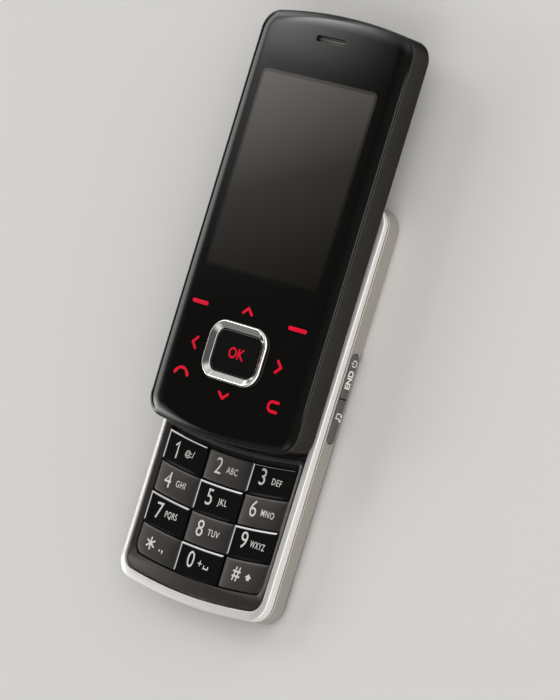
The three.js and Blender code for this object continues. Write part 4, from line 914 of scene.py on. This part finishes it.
pen, bar_pen = 0.68, 0.95
soft_x, soft_y, arrow_x, arrow_y, arm = 15.7, -2.0, 14.3, -11.2, 1.3
call_x, call_y, call_radius, call_end_x, call_end_y = -15.1, -19.8, 2.3, 1.95, -18.6
clear_x, clear_y, clear_radius, clear_tip = 15.0, -20.0, 1.1, 16.6
icons = []
for side in (-1, 1):
    icons.append(stroke([(side * soft_x + u, soft_y) for u in (-2.3, -1.2, 0, 1.2, 2.3)], bar_pen))
    icons.append(stroke([(side * (arrow_x - arm), arrow_y + arm), (side * arrow_x, arrow_y),
                         (side * (arrow_x - arm), arrow_y - arm)], pen))
icons += [stroke([(-1.4, -1.7), (0, -0.45), (1.4, -1.7)], pen),
          stroke([(-1.4, -20.4), (0, -21.6), (1.4, -20.4)], pen),
          stroke(arc(call_x, call_y, call_radius, 150, 30, 12), pen)]
for side in (-1, 1):
    end_x = call_x + side * call_end_x
    icons.append(stroke([(end_x - side * 0.2, call_end_y + 0.25),
                         (end_x + side * 0.2, call_end_y - 0.25)], bar_pen))
clear_high, clear_low = clear_y + clear_radius, clear_y - clear_radius
icons.append(stroke([(clear_tip, clear_high), (clear_x, clear_high)]
                    + arc(clear_x, clear_y, clear_radius, 100, 260, 12)
                    + [(clear_x, clear_low), (clear_tip, clear_low)], pen))
piece("touch_icons", ink(icons, panel_face), glowing_crimson_ink, "slider", sharp=20)
piece("ok_letters", ink([letters("OK", 3.5, 0, arrow_y, 0.95, 0.02)], lambda x, y: okay_high),
      glowing_crimson_ink, "ok_key", sharp=20)


def side_marks(name, shapes, body):
    """Marks drawn flat, stood up on the right wall."""
    shape = ink(shapes, lambda x, y: 0)
    for vertex in shape.verts:
        x, y, z = vertex.co
        vertex.co = Vector((button_out * mm + z, x, y))
    piece(name, shape, white_ink, body, sharp=20)


power_y, power_z, thin_pen, note_pen, head_pen = -5.6, 2.7, 0.2, 0.24, 0.5
side_marks("end_legend", [letters("END", 2.2, -9.4, 2.75, 0.98, 0.03),
                          stroke(arc(power_y, power_z, 0.72, 125, 415, 20), thin_pen),
                          stroke([(power_y, 2.9), (power_y, 3.6)], thin_pen)], "end_key")
side_marks("music_legend", [
    stroke([(-18.4, 2.2), (-18.4, 3.5), (-17.3, 3.3), (-17.3, 2.0)], note_pen),
    stroke([(-18.85, 2.05), (-18.55, 2.15)], head_pen),
    stroke([(-17.75, 1.9), (-17.45, 2.0)], head_pen)], "music_key")

# Floor: a plain pale sheet with a matt paint, so it takes the phone's soft shadow and no glare
floor_half, floor_low = 3, -0.0002
floor_mesh = bpy.data.meshes.new("floor")
floor_mesh.from_pydata([(x, y, floor_low) for x, y in (
    (-floor_half, -floor_half), (floor_half, -floor_half),
    (floor_half, floor_half), (-floor_half, floor_half))], [], [(0, 1, 2, 3)])
floor_paint = finish("pale_floor", ("#dfddda", "#dcdad7"), (0.5, 0.6), 3, 0.002,
                     {"IOR": 1.45, "Specular IOR Level": 0.1}, patch=200)
floor_mesh.materials.append(floor_paint)
floor = linked("floor", floor_mesh)

# Light: a pale room that is dark overhead, with a fill from the east. Its west is dark, so the
# glossy faces read black, but for two soft boxes there: a tall one far to the left, which draws the
# panel's far shoulder, and a low wide one, which draws the keys' ridges and the left edges.
world = bpy.data.worlds.new("studio")
bpy.context.scene.world = world
world.use_nodes = True
tree = world.node_tree
light = tree.nodes["Background"]
place = add(tree, "ShaderNodeTexCoord").outputs["Generated"]
way = add(tree, "ShaderNodeSeparateXYZ", {0: place}).outputs
east, north, up = way["X"], way["Y"], way["Z"]


def area(level, *limits):
    """Light of one level that fades smoothly along a way at each limit, from 0 to 1 or as told."""
    for along, low, high, *ends in limits:
        least, most = ends or (0, 1)
        fade = add(tree, "ShaderNodeMapRange",
                   {"From Min": low, "From Max": high, "To Min": least, "To Max": most,
                    "Value": along}, interpolation_type="SMOOTHSTEP")
        level = chain(tree, fade, ("MULTIPLY", level))
    return level


tall_level, wide_level, fill_level, room_level = 8, 2.2, 1.05, 0.81
tall = area(tall_level, (east, -0.5, -0.84), (up, 0.48, 0.6))
tall_box = chain(tree, area(tall, (north, 0, 0.2, 0, 0.35)),
                 ("ADD", area(tall, (north, 0.16, 0.5))))
wide_box = area(wide_level, (east, -0.1, -0.45), (north, -0.5, -0.3), (north, 0.6, 0.4),
                (up, 0.18, 0.28), (up, 0.6, 0.42), (north, -0.08, -0.22, 1, 2.5))
fill = area(fill_level, (east, 0.12, 0.4), (up, 0.85, 0.6))
shade = chain(tree, area(1, (north, -0.3, -0.6, 0.025, 0.22)),
              ("ADD", area(1, (north, 0.2, 0.5, 0, 0.5))))
room = chain(tree, area(room_level, (east, -0.1, -0.45, 1, 0)),
             ("ADD", area(shade, (east, -0.1, -0.45))))
room = area(room, (up, 0.97, 0.84, 0.12, 1))
strength = chain(tree, tall_box, ("MAXIMUM", wide_box), ("ADD", fill), ("ADD", room))
tree.links.new(strength.outputs[0], light.inputs["Strength"])
light.inputs["Color"].default_value = (1, 0.997, 0.99, 1)

# Camera at the photograph's angle, as it was fitted to the phone's outlines
eye = bpy.data.cameras.new("camera")
eye.lens, eye.sensor_width, eye.clip_start = 208.06, 36, 0.01
camera = linked("camera", eye)
camera_place = (0.6283, -0.0095, 0.6768)
forward = Vector((-0.68111294, 0.00233275, -0.73217465)).normalized()
upward = Vector((-0.21090443, 0.95698524, 0.19924501))
right = forward.cross(upward).normalized()
upward = right.cross(forward).normalized()
turned = Matrix((right, upward, -forward)).transposed().to_4x4()
camera.matrix_world = Matrix.Translation(camera_place) @ turned
bpy.context.scene.camera = camera
bpy.context.scene.view_settings.view_transform = "Standard"
